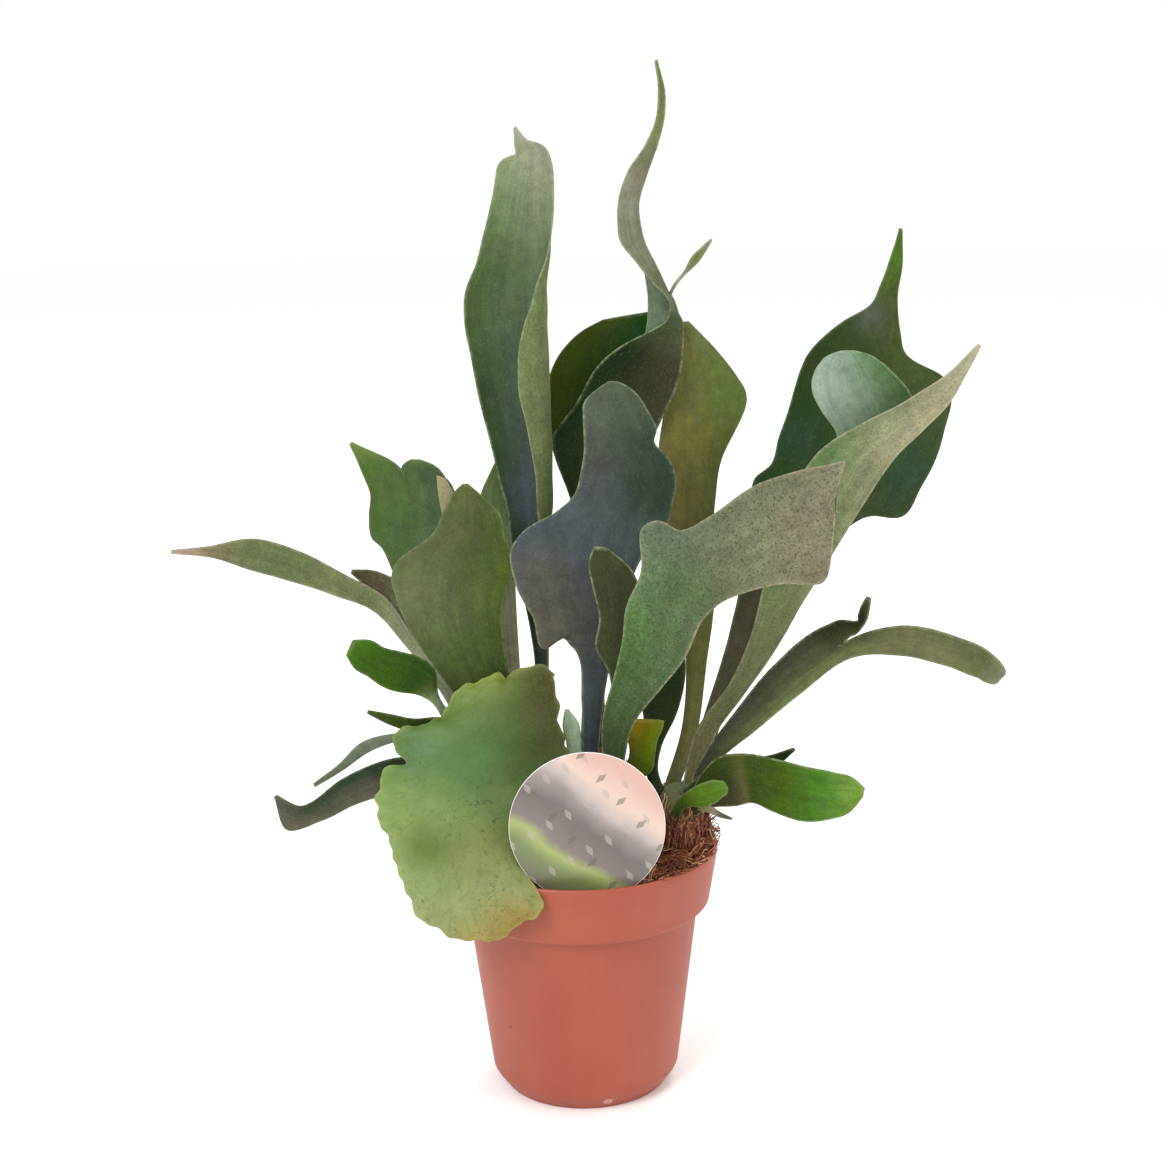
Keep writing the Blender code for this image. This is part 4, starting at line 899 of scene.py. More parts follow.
def make_frond(number, name, frond):
    """One piece with its stalk, its lobes, and its flaps: pieces of margin that are turned over."""
    stalk = frond["knots"][0]["wide"][0]
    solids, solid_faces, choices, tints, edges, grains = [], [], [], [], [], []
    for part in [frond] + frond.get("flaps", []):
        points, distance, side, faces = frond_sheet(part, 4 * QUARTER, ROW)
        if part is frond:
            reach = distance.max()
        begun = part.get("begun", 0)
        drawn = points
        points = leaned_back(points, (distance + begun) / reach, frond)
        normals = sheet_normals(points, faces)
        if part is frond:
            away = np.clip((distance - WAVE_FROM) / WAVE_FULL, 0, 1) * side ** 2
            wave = (np.sin(distance / 6.1 + number + 1.3 * side)
                    + 0.6 * np.sin(distance / 3.3 - 2 * side + 2.1 * number))
            points = points + normals * (WAVE * away * wave)[:, None]
            normals = sheet_normals(points, faces)
        full = BLADE + (stalk - BLADE) * np.clip(1 - (distance + begun) / TAPER, 0, 1)
        thin = THIN_MARGIN * BLADE
        thick = thin + (full - thin) * np.sqrt(np.clip(1 - side ** 2, 0, 1))
        solid, part_faces, ring, outward = shell(points, normals, faces, thick)
        along = distance / distance.max()
        front = patched(tone_map(part["front"], along, side), drawn, side, part.get("patches", ()))
        back = tone_map(part["back"], along, side)
        # A part's light scales its front's colour: painted light above 1, painted shade below 1.
        front, back = surface_colour(front, part.get("light", 1)), surface_colour(back, 1)
        edge = np.exp(-(from_margin(points, ring) / PALE_EDGE) ** 2) * part.get("rim", 0.2)
        felted = int(part.get("shows") == "felt")
        choices += [felted] * len(faces) + [1 - felted] * len(faces)
        choices += [felted] * (len(part_faces) - 2 * len(faces))
        grain = np.stack([side * 0.2 + 3.7 * number + begun / 90, distance / 100], 1)
        start = sum(len(s) for s in solids)
        solids.append(solid)
        solid_faces.append(part_faces + start)
        tints += [front, back, front[ring]]
        edges += [edge, edge, edge[ring]]
        grains += [grain, grain + (1.9, 0), grain[ring]]
        margins.append((points, margin_of(faces, len(points)), ring, outward, front))
    skins = [upper_skin, rubbed_felt if frond.get("rubbed") else felt_skin]
    made = new_object(name + "_blade", np.concatenate(solids), np.concatenate(solid_faces), skins, choices)
    mesh = made.data
    store(mesh, "tint", np.insert(np.concatenate(tints), 3, 1, axis=1))
    store(mesh, "edge", np.concatenate(edges))
    corners = np.empty(len(mesh.loops), np.int32)
    mesh.loops.foreach_get("vertex_index", corners)
    mesh.uv_layers.new(name="grain").data.foreach_set(
        "uv", np.concatenate(grains)[corners].astype(np.float32).ravel())
    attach(made, "root")
    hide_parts(name)


# For each frond: the knots of its spine and its lobes, from its foot up, each lobe with the part
# of its parent's width that it takes. It is drawn nearly upright: turn is then how far it goes
# back for each mm to the right, and lean how far back at its tip. front and back are the tones of
# its two sides: how far along, the colour at the left margin and, if it differs, at the right.
# patches are spots of another tone, some of them painted shade, shadow and sheen as noted at each frond.
# light scales the front's colour for the light that reaches that frond: painted light above 1, painted shade
# below 1. rim is how pale its edge is.
# shows tells that the felted side faces the front, and begun where along its frond a flap starts.
FRONDS = {}

# The tall frond at the left, its right-hand margin folded over towards the front
FRONDS["tall_left_frond"] = dict(turn=-0.3, lean=25, rim=0.45, knots=[
    stem((-18, 4, 141), 3), stem((-16, 9, 196), 3.2),
    stem((-18.5, 11, 222), (5, 7), curl=(10, 60)),
    stem((-20.3, 12, 244), (7.5, 14), curl=(15, 140)), stem((-19.7, 12.5, 257.5), (9.2, 23), curl=(20, 195)),
    stem((-21.3, 13.5, 270.5), (10.8, 26.7), curl=(20, 185)),
    stem((-23, 15, 285.7), (12.3, 31.8), curl=(20, 196)),
    stem((-26, 16.5, 309.2), (14.6, 40.4), curl=(20, 214)),
    stem((-27.5, 17.5, 326.2), (15.8, 41.5), curl=(20, 202)),
    stem((-28.6, 18, 336.8), (16.6, 41), curl=(20, 182)),
    stem((-28.5, 18, 347.4), (16.6, 38.1), curl=(20, 163)),
    stem((-25.5, 17, 360), (14.2, 30.4), curl=(15, 144)),
    stem((-23.2, 16, 370.8), (13.5, 25.3), curl=(10, 116)),
    stem((-20, 14.5, 389), (11.6, 14.5), curl=(0, 40)), rib((-30.2, 14, 398.5), (-6.2, 14, 398)),
    rib((-29, 14, 403.3), (-6.6, 14, 403)), rib((-26.6, 13, 405.6), (-7.6, 13, 407), 1, -1.5)],
    lobes=[(0.25, 1, dict(knots=[
        rib((-21.8, 12.5, 411), (-10.3, 13, 410.8), 0, -1), rib((-21.8, 12, 414.8), (-16.6, 12.5, 413)),
        stem((-21.5, 12, 418.2), 0.5)]))],
    front=[(0, "#4a5442"), (0.3, "#2c3f24", "#4d534e"), (0.45, "#2d4224", "#565e63"),
           (0.62, "#415530", "#5a6959"), (0.78, "#53693e", "#637252"), (0.9, "#7c8e62", "#8a9272"),
           (1, "#9ba485", "#b0ab98")],
    back=[(0, "#54614c"), (0.4, "#707c50"), (0.7, "#778458"), (0.85, "#7f8d62"), (1, "#8c8f78")],
    patches=[(-19, 262, 13, "#575f66", 0.7), (-38, 312, 8, "#2c4020", 0.35)])

# The tallest frond: a wide blade that narrows to a ribbon with half a turn in it. A piece
# of its right-hand margin is turned over behind it.
# The brown-grey on the right of its wide part, from 0.42 to 0.58 along, is painted shade; light 1.25 is
# painted light on its front.
FRONDS["twisted_frond"] = dict(turn=0.3, lean=15, rim=0.5, light=1.25, knots=[
    stem((8, 12, 140), 3), stem((8, 27, 210), 4), rib((-2, 30, 259), (14, 30, 257)),
    rib((-9, 31, 280), (26, 31, 272), 1), rib((-8, 32, 288), (36, 31, 288), 2),
    rib((1, 32, 300), (40, 31, 296), 2), rib((12.1, 31, 317.6), (45.5, 30, 308.5), 2),
    rib((24, 31, 326.5), (47.6, 30, 319), 1), rib((34, 31, 331.5), (48.3, 30, 330)),
    rib((40.9, 29, 336), (48, 30, 336)), rib((42.3, 26, 339.4), (46.1, 33, 339.2)),
    rib((42.3, 24, 343), (44.4, 33, 342.6)), rib((41, 22, 346.7), (43.2, 31, 346.1))],
    lobes=[(0, 0.75, dict(knots=[
        rib((37.6, 20, 350.4), (41.2, 27, 349.8)), rib((34.2, 19, 354.2), (39.4, 23, 353.9)),
        rib((28.6, 19, 361), (36.2, 20, 360.8)), rib((21.4, 20, 371.2), (31.5, 21, 371)),
        rib((20.6, 20, 378), (30, 20, 378), -1),
        rib((21, 21, 387), (29.5, 22, 386), -1), rib((25.5, 19, 400), (33, 20, 398), -1),
        rib((32.5, 18, 410), (37.5, 19, 410)), rib((37, 18, 420), (40.3, 18, 421)),
        rib((38.2, 19, 432), (40.7, 19, 432)), rib((37, 20, 444), (37.8, 20, 444.5))])),
           (0.75, 1, dict(knots=[
        stem((44.2, 27, 350.5), 0.45), stem((45.9, 26, 353), 0.4),
        stem((49.2, 26, 356.7), 0.5), stem((53.5, 26, 362), 1.7),
        stem((57, 26, 366), 1.2), stem((60.4, 26, 370.1), 0.3)]))],
    front=[(0, "#3a4a2c"), (0.42, "#283a21", "#42402d"), (0.58, "#1c2c14", "#42402d"), (0.66, "#586345"),
           (0.74, "#787964"), (0.84, "#858572", "#7d7a66"), (0.92, "#6a7048"), (1, "#5c6a3c")],
    back=[(0, "#586345"), (0.66, "#586345"), (0.74, "#787964"), (0.88, "#858572"), (1, "#5c6a3c")],
    patches=[(46, 353, 4, "#99a27e", 0.7), (54, 363, 4, "#66763a", 0.8)],
    flaps=[dict(begun=190, rim=0.3, light=1.1, knots=[
        rib((31.5, 36, 326), (46.3, 31, 326)), rib((33.2, 37, 335), (47, 31, 335)),
        rib((33.6, 37, 345.8), (44.3, 33, 345)), rib((32.6, 34, 353), (39.2, 26.5, 352)),
        rib((31.6, 24, 359), (35, 21.5, 359))],
        front=[(0, "#728165"), (0.6, "#7f9174"), (1, "#8aa088")], back=[(0, "#3a4a2c"), (1, "#4a5a38")])])

# The dark frond behind the twisted one. light 2.05 is painted light on it, against the shade it stands in
# behind the others.
FRONDS["back_centre_frond"] = dict(turn=0.2, lean=30, light=2.05, knots=[
    stem((3, 10, 138), 3), stem((7, 34, 205), 4), stem((8, 42, 256), 6),
    rib((-12, 46, 290), (24, 46, 292), -2), rib((-11, 48, 308), (30, 48, 310), -2),
    rib((-4, 48, 322), (33, 48, 324), -1), rib((6, 48, 331), (35, 48, 333)),
    rib((14, 48, 335), (34, 48, 338))],
    front=[(0, "#3f4a14"), (0.5, "#3f4a14", "#2b321f"), (0.8, "#3b4816", "#173214"),
           (1, "#3f4a14", "#1c3a18")],
    back=[(0, "#6e7359"), (1, "#7a8062")])

# Its dark brown patch low on its blade is painted shadow where its lower part is shaded; light 1.2 is painted
# light on its front.
FRONDS["olive_right_frond"] = dict(turn=0.4, lean=20, light=1.2, knots=[
    stem((39, 4, 130), 3), stem((48, 11, 157), (2.8, 4)), stem((52, 20, 187), (4, 5)),
    stem((54.5, 26, 212), (8.5, 6.5)), stem((53, 30, 246), (16.4, 8)), stem((56, 34, 275), (19, 9)),
    rib((40, 36, 294), (76, 36, 300)), rib((44, 36, 311), (71.5, 36, 311), 1),
    rib((46.5, 36, 322), (63, 36, 322)),
    rib((47.6, 36, 330), (55.5, 36, 330)), rib((48.6, 36, 334.4), (51, 36, 334.6))],
    front=[(0, "#74724a"), (0.2, "#6c6e3c"), (0.45, "#5e5f36"), (0.6, "#6b653a", "#555a32"),
           (0.75, "#72703c", "#586230"), (1, "#6c6f3a", "#6c7c44")],
    back=[(0, "#70735a"), (1, "#83876a")],
    patches=[(50, 225, 10, "#4a3d22", 0.7), (70, 300, 12, "#63763c", 0.6)])

# The blue-grey frond in the middle, with one hanging lobe at its lower left
# Its blue-grey patch in the middle of its blade is a painted sheen, a band of light along its fold.
FRONDS["centre_frond"] = dict(turn=0.3, lean=-6, rim=0.4, light=1.08, knots=[
    stem((4, -4, 145), 3), stem((6, -8, 177), 4.6), stem((7, -10, 197), (6.5, 7)),
    stem((7, -10, 206), (10, 8.5), lag=(3.5, 0)), stem((7, -10.6, 209), (13.6, 9.3), lag=(3, 0)),
    stem((7, -11, 212), (19.6, 10), lag=(10.5, 0)),
    stem((7, -11, 222), (25.5, 13), lag=(7, 0)), stem((7, -11, 235), (32.5, 18), lag=(5, 0)),
    stem((7, -10, 246), (34, 24), lag=(3, 0)), rib((-22, -10, 252), (38, -8, 253), -1),
    rib((-8, -9, 260), (41, -7, 262), -2), rib((0, -8, 267), (42.5, -5, 271), -2),
    rib((3, -7, 277), (40, -4, 281), -1),
    rib((4.5, -5, 285), (34, -3, 288)), rib((4.5, -4, 293), (35, -3, 294)),
    rib((4.5, -3, 300), (31, -2, 302)),
    rib((5.5, -2, 306), (27, -1, 308)), rib((11, -1, 311), (22, 0, 312)),
    rib((15, 0, 313.5), (19, 0, 313.5))],
    front=[(0, "#535d64"), (0.28, "#4f5654"), (0.42, "#5e5a4e", "#4c555b"), (0.62, "#515b60", "#4a5550"),
           (0.8, "#535652", "#39483a"), (1, "#5a6450")],
    back=[(0, "#6e7468"), (1, "#868a74")],
    patches=[(-15, 232, 12, "#5e5a4e", 0.7), (8, 246, 11, "#596168", 0.7), (34, 268, 13, "#303f2a", 0.75),
             (32, 290, 10, "#39483a", 0.6), (14, 304, 11, "#5a6450", 0.6)])

FRONDS["small_front_frond"] = dict(turn=0.1, lean=-8, rim=0.5, light=1.15, knots=[
    stem((10, -9, 144), 2.5), stem((15, -12, 172), 2.5), stem((17, -16, 187), 3),
    rib((12.8, -17, 193), (23, -17, 194)), rib((7.7, -18, 204), (23, -18, 205)),
    rib((9.6, -18, 215), (25, -18, 214)), rib((7, -19, 230), (27, -19, 227)),
    rib((5.6, -19, 240.5), (21, -19, 239.5)), rib((7.6, -19, 247), (12.6, -19, 246.4))],
    front=[(0, "#4a4d3a"), (0.5, "#41482f"), (1, "#454b33")],
    back=[(0, "#6e7359"), (1, "#7a8062")])

# The wide frond in front, its felted underside towards the viewer
FRONDS["felted_front_frond"] = dict(turn=-0.35, lean=-8, rim=0.45, rubbed=True, knots=[
    stem((14, -14, 137), 3), stem((17.5, -22, 174), 7), rib((15.5, -25, 193), (35, -28, 188), 1),
    rib((19, -31, 210), (45, -34, 203), 2), rib((21, -36, 226), (51, -38, 218), 2),
    rib((27, -38, 241), (57, -42, 226), 2),
    rib((27, -40, 258), (63, -44, 230), 2), rib((34, -42, 262), (70, -46, 233), 2),
    rib((43, -43, 258), (78, -46, 235), 2),
    rib((54, -43, 263), (85, -46, 236), 2), rib((72, -42, 275), (93, -44, 235), 2),
    rib((91, -40, 281), (102, -42, 237), 2),
    rib((104, -38, 283), (105, -40, 254), 1), rib((110, -36, 284), (106, -38, 270))],
    shows="felt",
    front=[(0, "#474f2e"), (0.22, "#586f46"), (0.42, "#5f8048", "#647653"), (0.62, "#707d66", "#7d8165"),
           (0.82, "#7d8165", "#8c876c"), (1, "#88866e", "#928d76")],
    back=[(0, "#43542e"), (1, "#506338")],
    patches=[(46, 232, 11, "#5f7a4a", 0.6), (88, 264, 15, "#928a70", 0.5), (62, 240, 9, "#69734f", 0.5)])

# The long frond at the right: one pointed lobe with a rolled margin, and behind it a round
# lobe turned over
FRONDS["long_right_frond"] = dict(turn=0.1, lean=0, rim=0.5, light=1.35, knots=[
    stem((47, -1, 131), 3), stem((55, 0, 159), 4), stem((69, 0, 179), 4),
    stem((80, -1, 199), 6), stem((90, -2, 223), (10, 9)), rib((90.5, -4, 255), (115.4, -4, 248.8)),
    rib((98.2, -5, 276.6), (123.6, -6, 263.2), 1), rib((109.3, -7, 288.4), (135.5, -7, 281), 2),
    rib((123.2, -8, 295.9), (145.5, -8, 291), 2), rib((142.3, -8, 306.3), (157.7, -8, 303.9), 1),
    rib((156, -8, 315), (163, -8, 313.6)), stem((168.9, -8, 326.7), 0.6)],
    shows="felt",
    front=[(0, "#6a6444"), (0.3, "#7c825e"), (0.5, "#677f50", "#7a825d"), (0.7, "#667e52", "#858768"),
           (0.85, "#858b68", "#9d997b"), (1, "#a6a18a")],
    back=[(0, "#4a5c38"), (0.55, "#6a7e53"), (1, "#7f977c")],
    patches=[(136, 290, 14, "#a3a182", 0.5)],
    flaps=[dict(begun=150, rim=0.5, knots=[
        rib((101, -4.3, 262), (113, -4.6, 256)), rib((107, 0, 278), (126, 2, 272)),
        rib((111.5, 4, 290), (142, 4, 291)), rib((105.4, 5, 299), (144.5, 5, 301)),
        rib((101.7, 6, 307), (141.2, 6, 308)), rib((102, 7, 313.5), (135.8, 7, 314)),
        rib((105.2, 7, 319.2), (129.6, 7, 319.4)), rib((109, 8, 322.2), (124.4, 8, 322.3)),
        rib((113.5, 8, 323.6), (119.5, 8, 323.6))],
        front=[(0, "#6a7e53"), (0.5, "#879c80", "#4f6c3c"), (0.8, "#a8baa8", "#587646"),
               (1, "#a3b6a4", "#6f8f62")],
        back=[(0, "#7a825d"), (1, "#8f9070")])])

# Its two blue-green patches are painted highlights, and light 0.85 is painted shade over its front.
FRONDS["back_right_frond"] = dict(turn=0.45, lean=10, light=0.85, knots=[
    stem((47, 7.5, 129), 3), stem((60, 17, 164), (3.5, 5)), stem((70, 24, 191), (4, 6.5)),
    stem((78, 34, 216), (5, 8.5)), rib((80, 40, 240), (98, 40, 224)), rib((80, 44, 262), (118, 46, 237), 2),
    rib((89, 48, 271), (134, 50, 244.5), 3), rib((91.5, 50, 280), (146, 52, 243), 4),
    rib((97.5, 54, 295), (157, 55, 257), 4), rib((102, 56, 310.5), (167, 58, 280), 4),
    rib((110.5, 58, 322.5), (167, 60, 305), 3), rib((122, 60, 331.5), (150.5, 62, 315), 2),
    rib((133, 62, 337.5), (147.5, 62, 325.5)), rib((138.5, 62, 347.5), (145.7, 62, 340.5)),
    rib((143, 62, 360), (147.5, 62, 355)), rib((146, 62, 371.5), (147.6, 62, 371))],
    front=[(0, "#66664c"), (0.3, "#4c4c36", "#4a4430"), (0.5, "#264a16", "#45492c"),
           (0.65, "#2b4b18", "#3e5832"), (0.8, "#3a4e1e", "#546236"), (0.88, "#5a6838", "#4e5a28"),
           (0.95, "#587a24"), (1, "#587d22")],
    back=[(0, "#6e7a58"), (1, "#7f8a68")],
    patches=[(100, 280, 10, "#3d5c4e", 0.4), (152, 262, 12, "#36584c", 0.4), (134, 333, 7, "#6c7468", 0.7),
             (110, 250, 12, "#4a4431", 0.6)])

# The frond that arches out low at the right and forks. It is drawn flat: its fold along the middle is shown
# as painted shade on the left half of its front, with dark patches of painted shade at the top of the fold.
FRONDS["arching_right_frond"] = dict(turn=-0.35, lean=0, rim=0.4, knots=[
    stem((48, -7, 131), 3), stem((58, -9, 151), (4, 3)), stem((72, -10, 166), (7, 5)),
    stem((91, -12, 184), (11, 6)), stem((112, -14, 201), (11, 7))],
    lobes=[(0.5, 1, dict(blunt=True, knots=[
        stem((138, -14, 203), (6, 7)), stem((159, -14, 198), (6, 7)), stem((174, -13, 190.5), (5.5, 6)),
        stem((181, -12, 184.5), (2.5, 2))])),
           (0, 0.5, dict(knots=[
        rib((112, -13.5, 212), (115.6, -13.5, 204.6)), rib((119.2, -12.5, 211.2), (119.2, -12.5, 206.2)),
        rib((119.6, -12, 214), (122.6, -12, 210.5)), rib((121.3, -12, 218.5), (124.1, -12, 216)),
        rib((123, -12, 221.6), (124.7, -12, 220.8))]))],
    front=[(0, "#4c4c3e", "#5e6947"), (0.35, "#454436", "#6f7a4a"), (0.6, "#4a4a38", "#7d8256"),
           (0.8, "#646a46", "#747350"), (0.94, "#5c6240", "#686c46"), (1, "#84836a")],
    back=[(0, "#5e6947"), (1, "#77784f")],
    patches=[(108, 207, 8, "#2f3312", 0.7), (119, 212, 8, "#1e2c04", 0.95)])

# The dark green near its foot is painted shade. Its flap gets light 1.6, painted light where it lies in shade
# under the blade.
FRONDS["low_right_frond"] = dict(turn=-0.3, lean=0, rim=0.35, knots=[
    stem((47, -15, 128), 3), rib((53.5, -17, 147.5), (57, -17, 131)),
    rib((60, -18, 153.8), (66.2, -18, 131.6)),
    rib((71.5, -20, 155.5), (74, -20, 133.6)), rib((83.6, -22, 153.5), (82, -22, 130.4)),
    rib((95.7, -24, 150.6), (95, -24, 126.3)), rib((107.8, -26, 148.4), (107, -26, 127.8)),
    rib((116.5, -27, 145.9), (115.5, -27, 131.6)), rib((120.8, -27, 141.6), (120, -27, 137.4))],
    front=[(0, "#364817", "#4c4a34"), (0.3, "#40501f", "#4f4d36"), (0.37, "#5e6434", "#68643f"),
           (0.4, "#44531b", "#46531c"), (0.6, "#4c671b"), (0.8, "#568531"), (1, "#7d9c43")],
    back=[(0, "#6d7c41"), (1, "#8a9a58")],
    flaps=[dict(begun=60, light=1.6, knots=[
        rib((51, -17, 134), (50.5, -17.2, 129.8)), rib((56, -17.6, 131.6), (55.5, -17.8, 128.8)),
        rib((60, -18.4, 129), (59.5, -18.6, 127)), rib((65, -19.5, 126.6), (64.8, -19.5, 126))],
        front=[(0, "#8f8a62"), (0.4, "#a39a7c"), (0.7, "#5a5644"), (1, "#33301f")],
        back=[(0, "#6a6450"), (1, "#33301f")])])

FRONDS["low_right_shoot"] = dict(turn=-0.2, lean=0, blunt=True, knots=[
    stem((40, -17, 126), 2), rib((42.4, -21, 136.4), (45.4, -21, 132.8)),
    rib((47.2, -24, 141.4), (50, -24, 133.6)), rib((53.6, -26, 145.2), (56, -26, 135.2)),
    rib((59, -27, 146), (60.6, -27, 139.2)), rib((62, -27, 144.2), (62.6, -27, 142))],
    front=[(0, "#4a4a2c"), (0.3, "#4f6424"), (0.5, "#64802a"), (1, "#5e8426")],
    back=[(0, "#6d7c41"), (1, "#7c8c4a")])

FRONDS["low_right_back_frond"] = dict(turn=-0.2, lean=0, knots=[
    stem((41, -11, 131), 2.5), stem((60, -12.5, 145), 3), stem((75, -14, 148), 3.5),
    stem((84, -15, 151), 2.5), stem((92, -16, 156), 0.7)],
    front=[(0, "#4c5a35"), (0.6, "#3b4a2a"), (1, "#232c18")],
    back=[(0, "#5e6947"), (1, "#4c5a35")])

FRONDS["small_back_frond"] = dict(turn=0, lean=5, blunt=True, knots=[
    stem((36, -3, 129), 2.5), stem((31.5, 0, 143), 2.5), stem((33, 4, 153), 3),
    stem((36, 9, 167), (8, 7)), stem((41, 11, 191), (6.5, 6)), stem((43, 12, 204), 1)],
    front=[(0, "#364420"), (1, "#2e3b20")],
    back=[(0, "#606b46"), (1, "#606b46")])

FRONDS["young_frond"] = dict(turn=0, lean=-4, knots=[
    stem((19, -6, 139), 2.5), rib((19.8, -7, 146), (31, -7, 144.6)),
    rib((21.8, -8, 153.4), (32.4, -8, 151.6)),
    rib((21.1, -9, 160), (33.4, -9, 158.6)), rib((21, -10, 166), (36, -10, 165.4)),
    rib((23, -10, 168.8), (36.4, -10, 167.9))],
    front=[(0, "#4b6010"), (0.4, "#6a7610", "#5b7a10"), (0.7, "#8f8a18", "#6f8a10"),
           (1, "#b3922c", "#7c8a15")],
    back=[(0, "#5c6a20"), (1, "#8a8430")])

# light 3 is painted light: the bud stands in shade between the shield, the label and the fronds.
FRONDS["bud"] = dict(turn=0, lean=0, light=3, knots=[
    stem((-4, -5, 140), 2.5), stem((-2.1, -5, 153.4), 3.1), stem((-2.8, -5, 160.6), 3.3),
    stem((-3.7, -5, 165.5), 3.4), stem((-5.2, -5, 172), 0.9)],
    front=[(0, "#7d8c75"), (1, "#94a58e")],
    back=[(0, "#7d8c75"), (1, "#94a58e")])

# The broad olive frond at the left and the ones behind and beside it
FRONDS["broad_left_frond"] = dict(turn=-0.3, lean=-22, light=0.9, knots=[
    stem((-33, -4, 151), 3), rib((-47.5, -5, 172), (-32, -5, 172)),
    rib((-54.5, -5, 182), (-30, -5, 184), 1),
    rib((-63.5, -5, 195.5), (-31, -5, 198), 2), rib((-72.3, -5, 210.5), (-32, -5, 213), 3),
    rib((-77.2, -5, 225), (-30, -4, 225), 3), rib((-78.5, -5, 233), (-26.5, -4, 233), 3),
    rib((-75, -4, 240), (-27, -3, 241.5), 2), rib((-61, -3, 250), (-30, -2, 249), 1),
    rib((-56, -2, 259), (-32, -1, 258)), rib((-51, -1, 268), (-39, 0, 265.5)),
    rib((-47.5, 0, 271), (-45, 0, 271.3))],
    front=[(0, "#3e501a"), (0.25, "#4a5a26"), (0.45, "#6a784a", "#4c5c26"), (0.6, "#7a845c", "#52602a"),
           (0.8, "#6a744a", "#52612a"), (1, "#626c40")],
    back=[(0, "#7a8062"), (1, "#8a8c70")])

FRONDS["back_left_frond"] = dict(turn=-0.5, lean=5, knots=[
    stem((-37, 7, 148), 3), stem((-56, 11, 196), 4), rib((-70, 14, 212), (-56, 14, 216)),
    rib((-79, 16, 228), (-56, 16, 226)), rib((-84.5, 17, 241), (-55, 17, 236)),
    rib((-88.5, 18, 245), (-54, 18, 246), 1),
    rib((-89.6, 19, 255), (-52, 19, 256), 1), rib((-89, 20, 265), (-52.5, 20, 266), 1),
    rib((-92, 20, 274), (-56, 20, 271), 1, -1)],
    lobes=[(0, 0.5, dict(knots=[stem((-96.3, 21, 286.5), 0.6)])),
           (0.5, 1, dict(knots=[
        rib((-73, 20, 277.6), (-61.5, 20, 276.8)), rib((-70.5, 20, 278.9), (-66.5, 20, 278.8))]))],
    front=[(0, "#5a624c"), (0.45, "#62694c", "#5c6749"), (0.68, "#55703a", "#586a4a"),
           (0.9, "#5c7638", "#526644"), (1, "#7c8c46")],
    back=[(0, "#6e7a58"), (1, "#8c8a5c")],
    flaps=[dict(begun=100, knots=[
        rib((-57.2, 17, 253), (-52.6, 18.8, 255)), rib((-58.8, 16.4, 264), (-52.9, 18.8, 264.5), -0.8),
        rib((-59.4, 17.4, 272), (-56, 19.4, 270.5))],
        front=[(0, "#a09a70"), (1, "#b5ad84")], back=[(0, "#6e7a58"), (1, "#6e7a58")])])

FRONDS["long_left_frond"] = dict(turn=-0.2, lean=0, rim=0.35, light=1.25, knots=[
    stem((-43, 1.5, 148), 3), stem((-56, 2, 179), 3.2), stem((-71, 0, 205), 5)],
    lobes=[(0, 0.5, dict(knots=[
        stem((-84, -1, 220), (4.5, 3.2)), stem((-101, -2, 231), (7, 3)), stem((-120, -3, 238), (7, 6.5)),
        stem((-139, -3, 243), (6, 7)), stem((-156, -3, 245), (2.5, 2)),
        stem((-172, -3, 245), 0.6)])),
           (0.5, 1, dict(knots=[stem((-80, 6, 224.5), 5), stem((-88, 7, 229.5), (4.5, 3.5)),
        stem((-97, 8, 232.5), 0.8)]))],
    shows="felt",
    front=[(0, "#979e86"), (0.25, "#959c7c"), (0.4, "#8b9170"), (0.5, "#6c7450"), (0.62, "#727753"),
           (0.7, "#66714b"), (0.82, "#636c4a"), (0.92, "#857c60"), (1, "#b2998d")],
    back=[(0, "#485a34"), (1, "#566b3c")],
    patches=[(-98, 234, 14, "#4a3f30", 0.95, 1), (-84, 227, 9, "#5a4f3c", 0.8, 1)])

FRONDS["bright_left_frond"] = dict(turn=0.3, lean=0, light=1.15, knots=[
    stem((-44, -4.5, 148), 2.5), stem((-57, -9, 171.5), 1.8), rib((-63, -10, 178.3), (-60.2, -10, 181.5)),
    rib((-69.7, -10, 182.1), (-61.6, -10, 193)), rib((-76.5, -11, 183.5), (-67.4, -10, 198.1)),
    rib((-84.1, -11, 186.3), (-75.8, -11, 201.2), 1), rib((-89.9, -11, 190.8), (-82.5, -11, 203.1), 1),
    rib((-95.5, -11, 194.5), (-88.5, -11, 206.6)), rib((-98.6, -11, 200.2), (-95.5, -11, 206.8))],
    front=[(0, "#9aa588"), (0.41, "#97a284"), (0.5, "#6a784a", "#2c4710"), (0.6, "#2f4d0c"), (0.8, "#38580f"),
           (1, "#466a17")],
    back=[(0, "#808b72"), (1, "#7c9050")])

FRONDS["narrow_left_frond"] = dict(turn=0, lean=0, light=0.5, knots=[
    stem((-45, -9.5, 147), 2), stem((-60, -14, 171), 2), stem((-71, -15, 169), (2, 3.5)),
    stem((-80, -15, 172), (2, 2.5)), stem((-90, -15, 176), 0.7)],
    front=[(0, "#6d7c41"), (0.6, "#475c1d"), (1, "#5c7226")],
    back=[(0, "#6d7c41"), (1, "#7c8c4a")])

# light 1.8 is painted light on this thin frond, against the shade it lies in.
FRONDS["thin_left_frond"] = dict(turn=-0.2, lean=0, light=1.8, knots=[
    stem((-40, -15, 147), 1.8), stem((-77, -17, 165), 1.8), stem((-92, -18, 161), 2.5),
    stem((-102, -19, 153), 1.5), stem((-114, -19, 145), 0.7)],
    front=[(0, "#6c7168"), (1, "#5a624c")],
    back=[(0, "#6c7168"), (1, "#7c8474")])

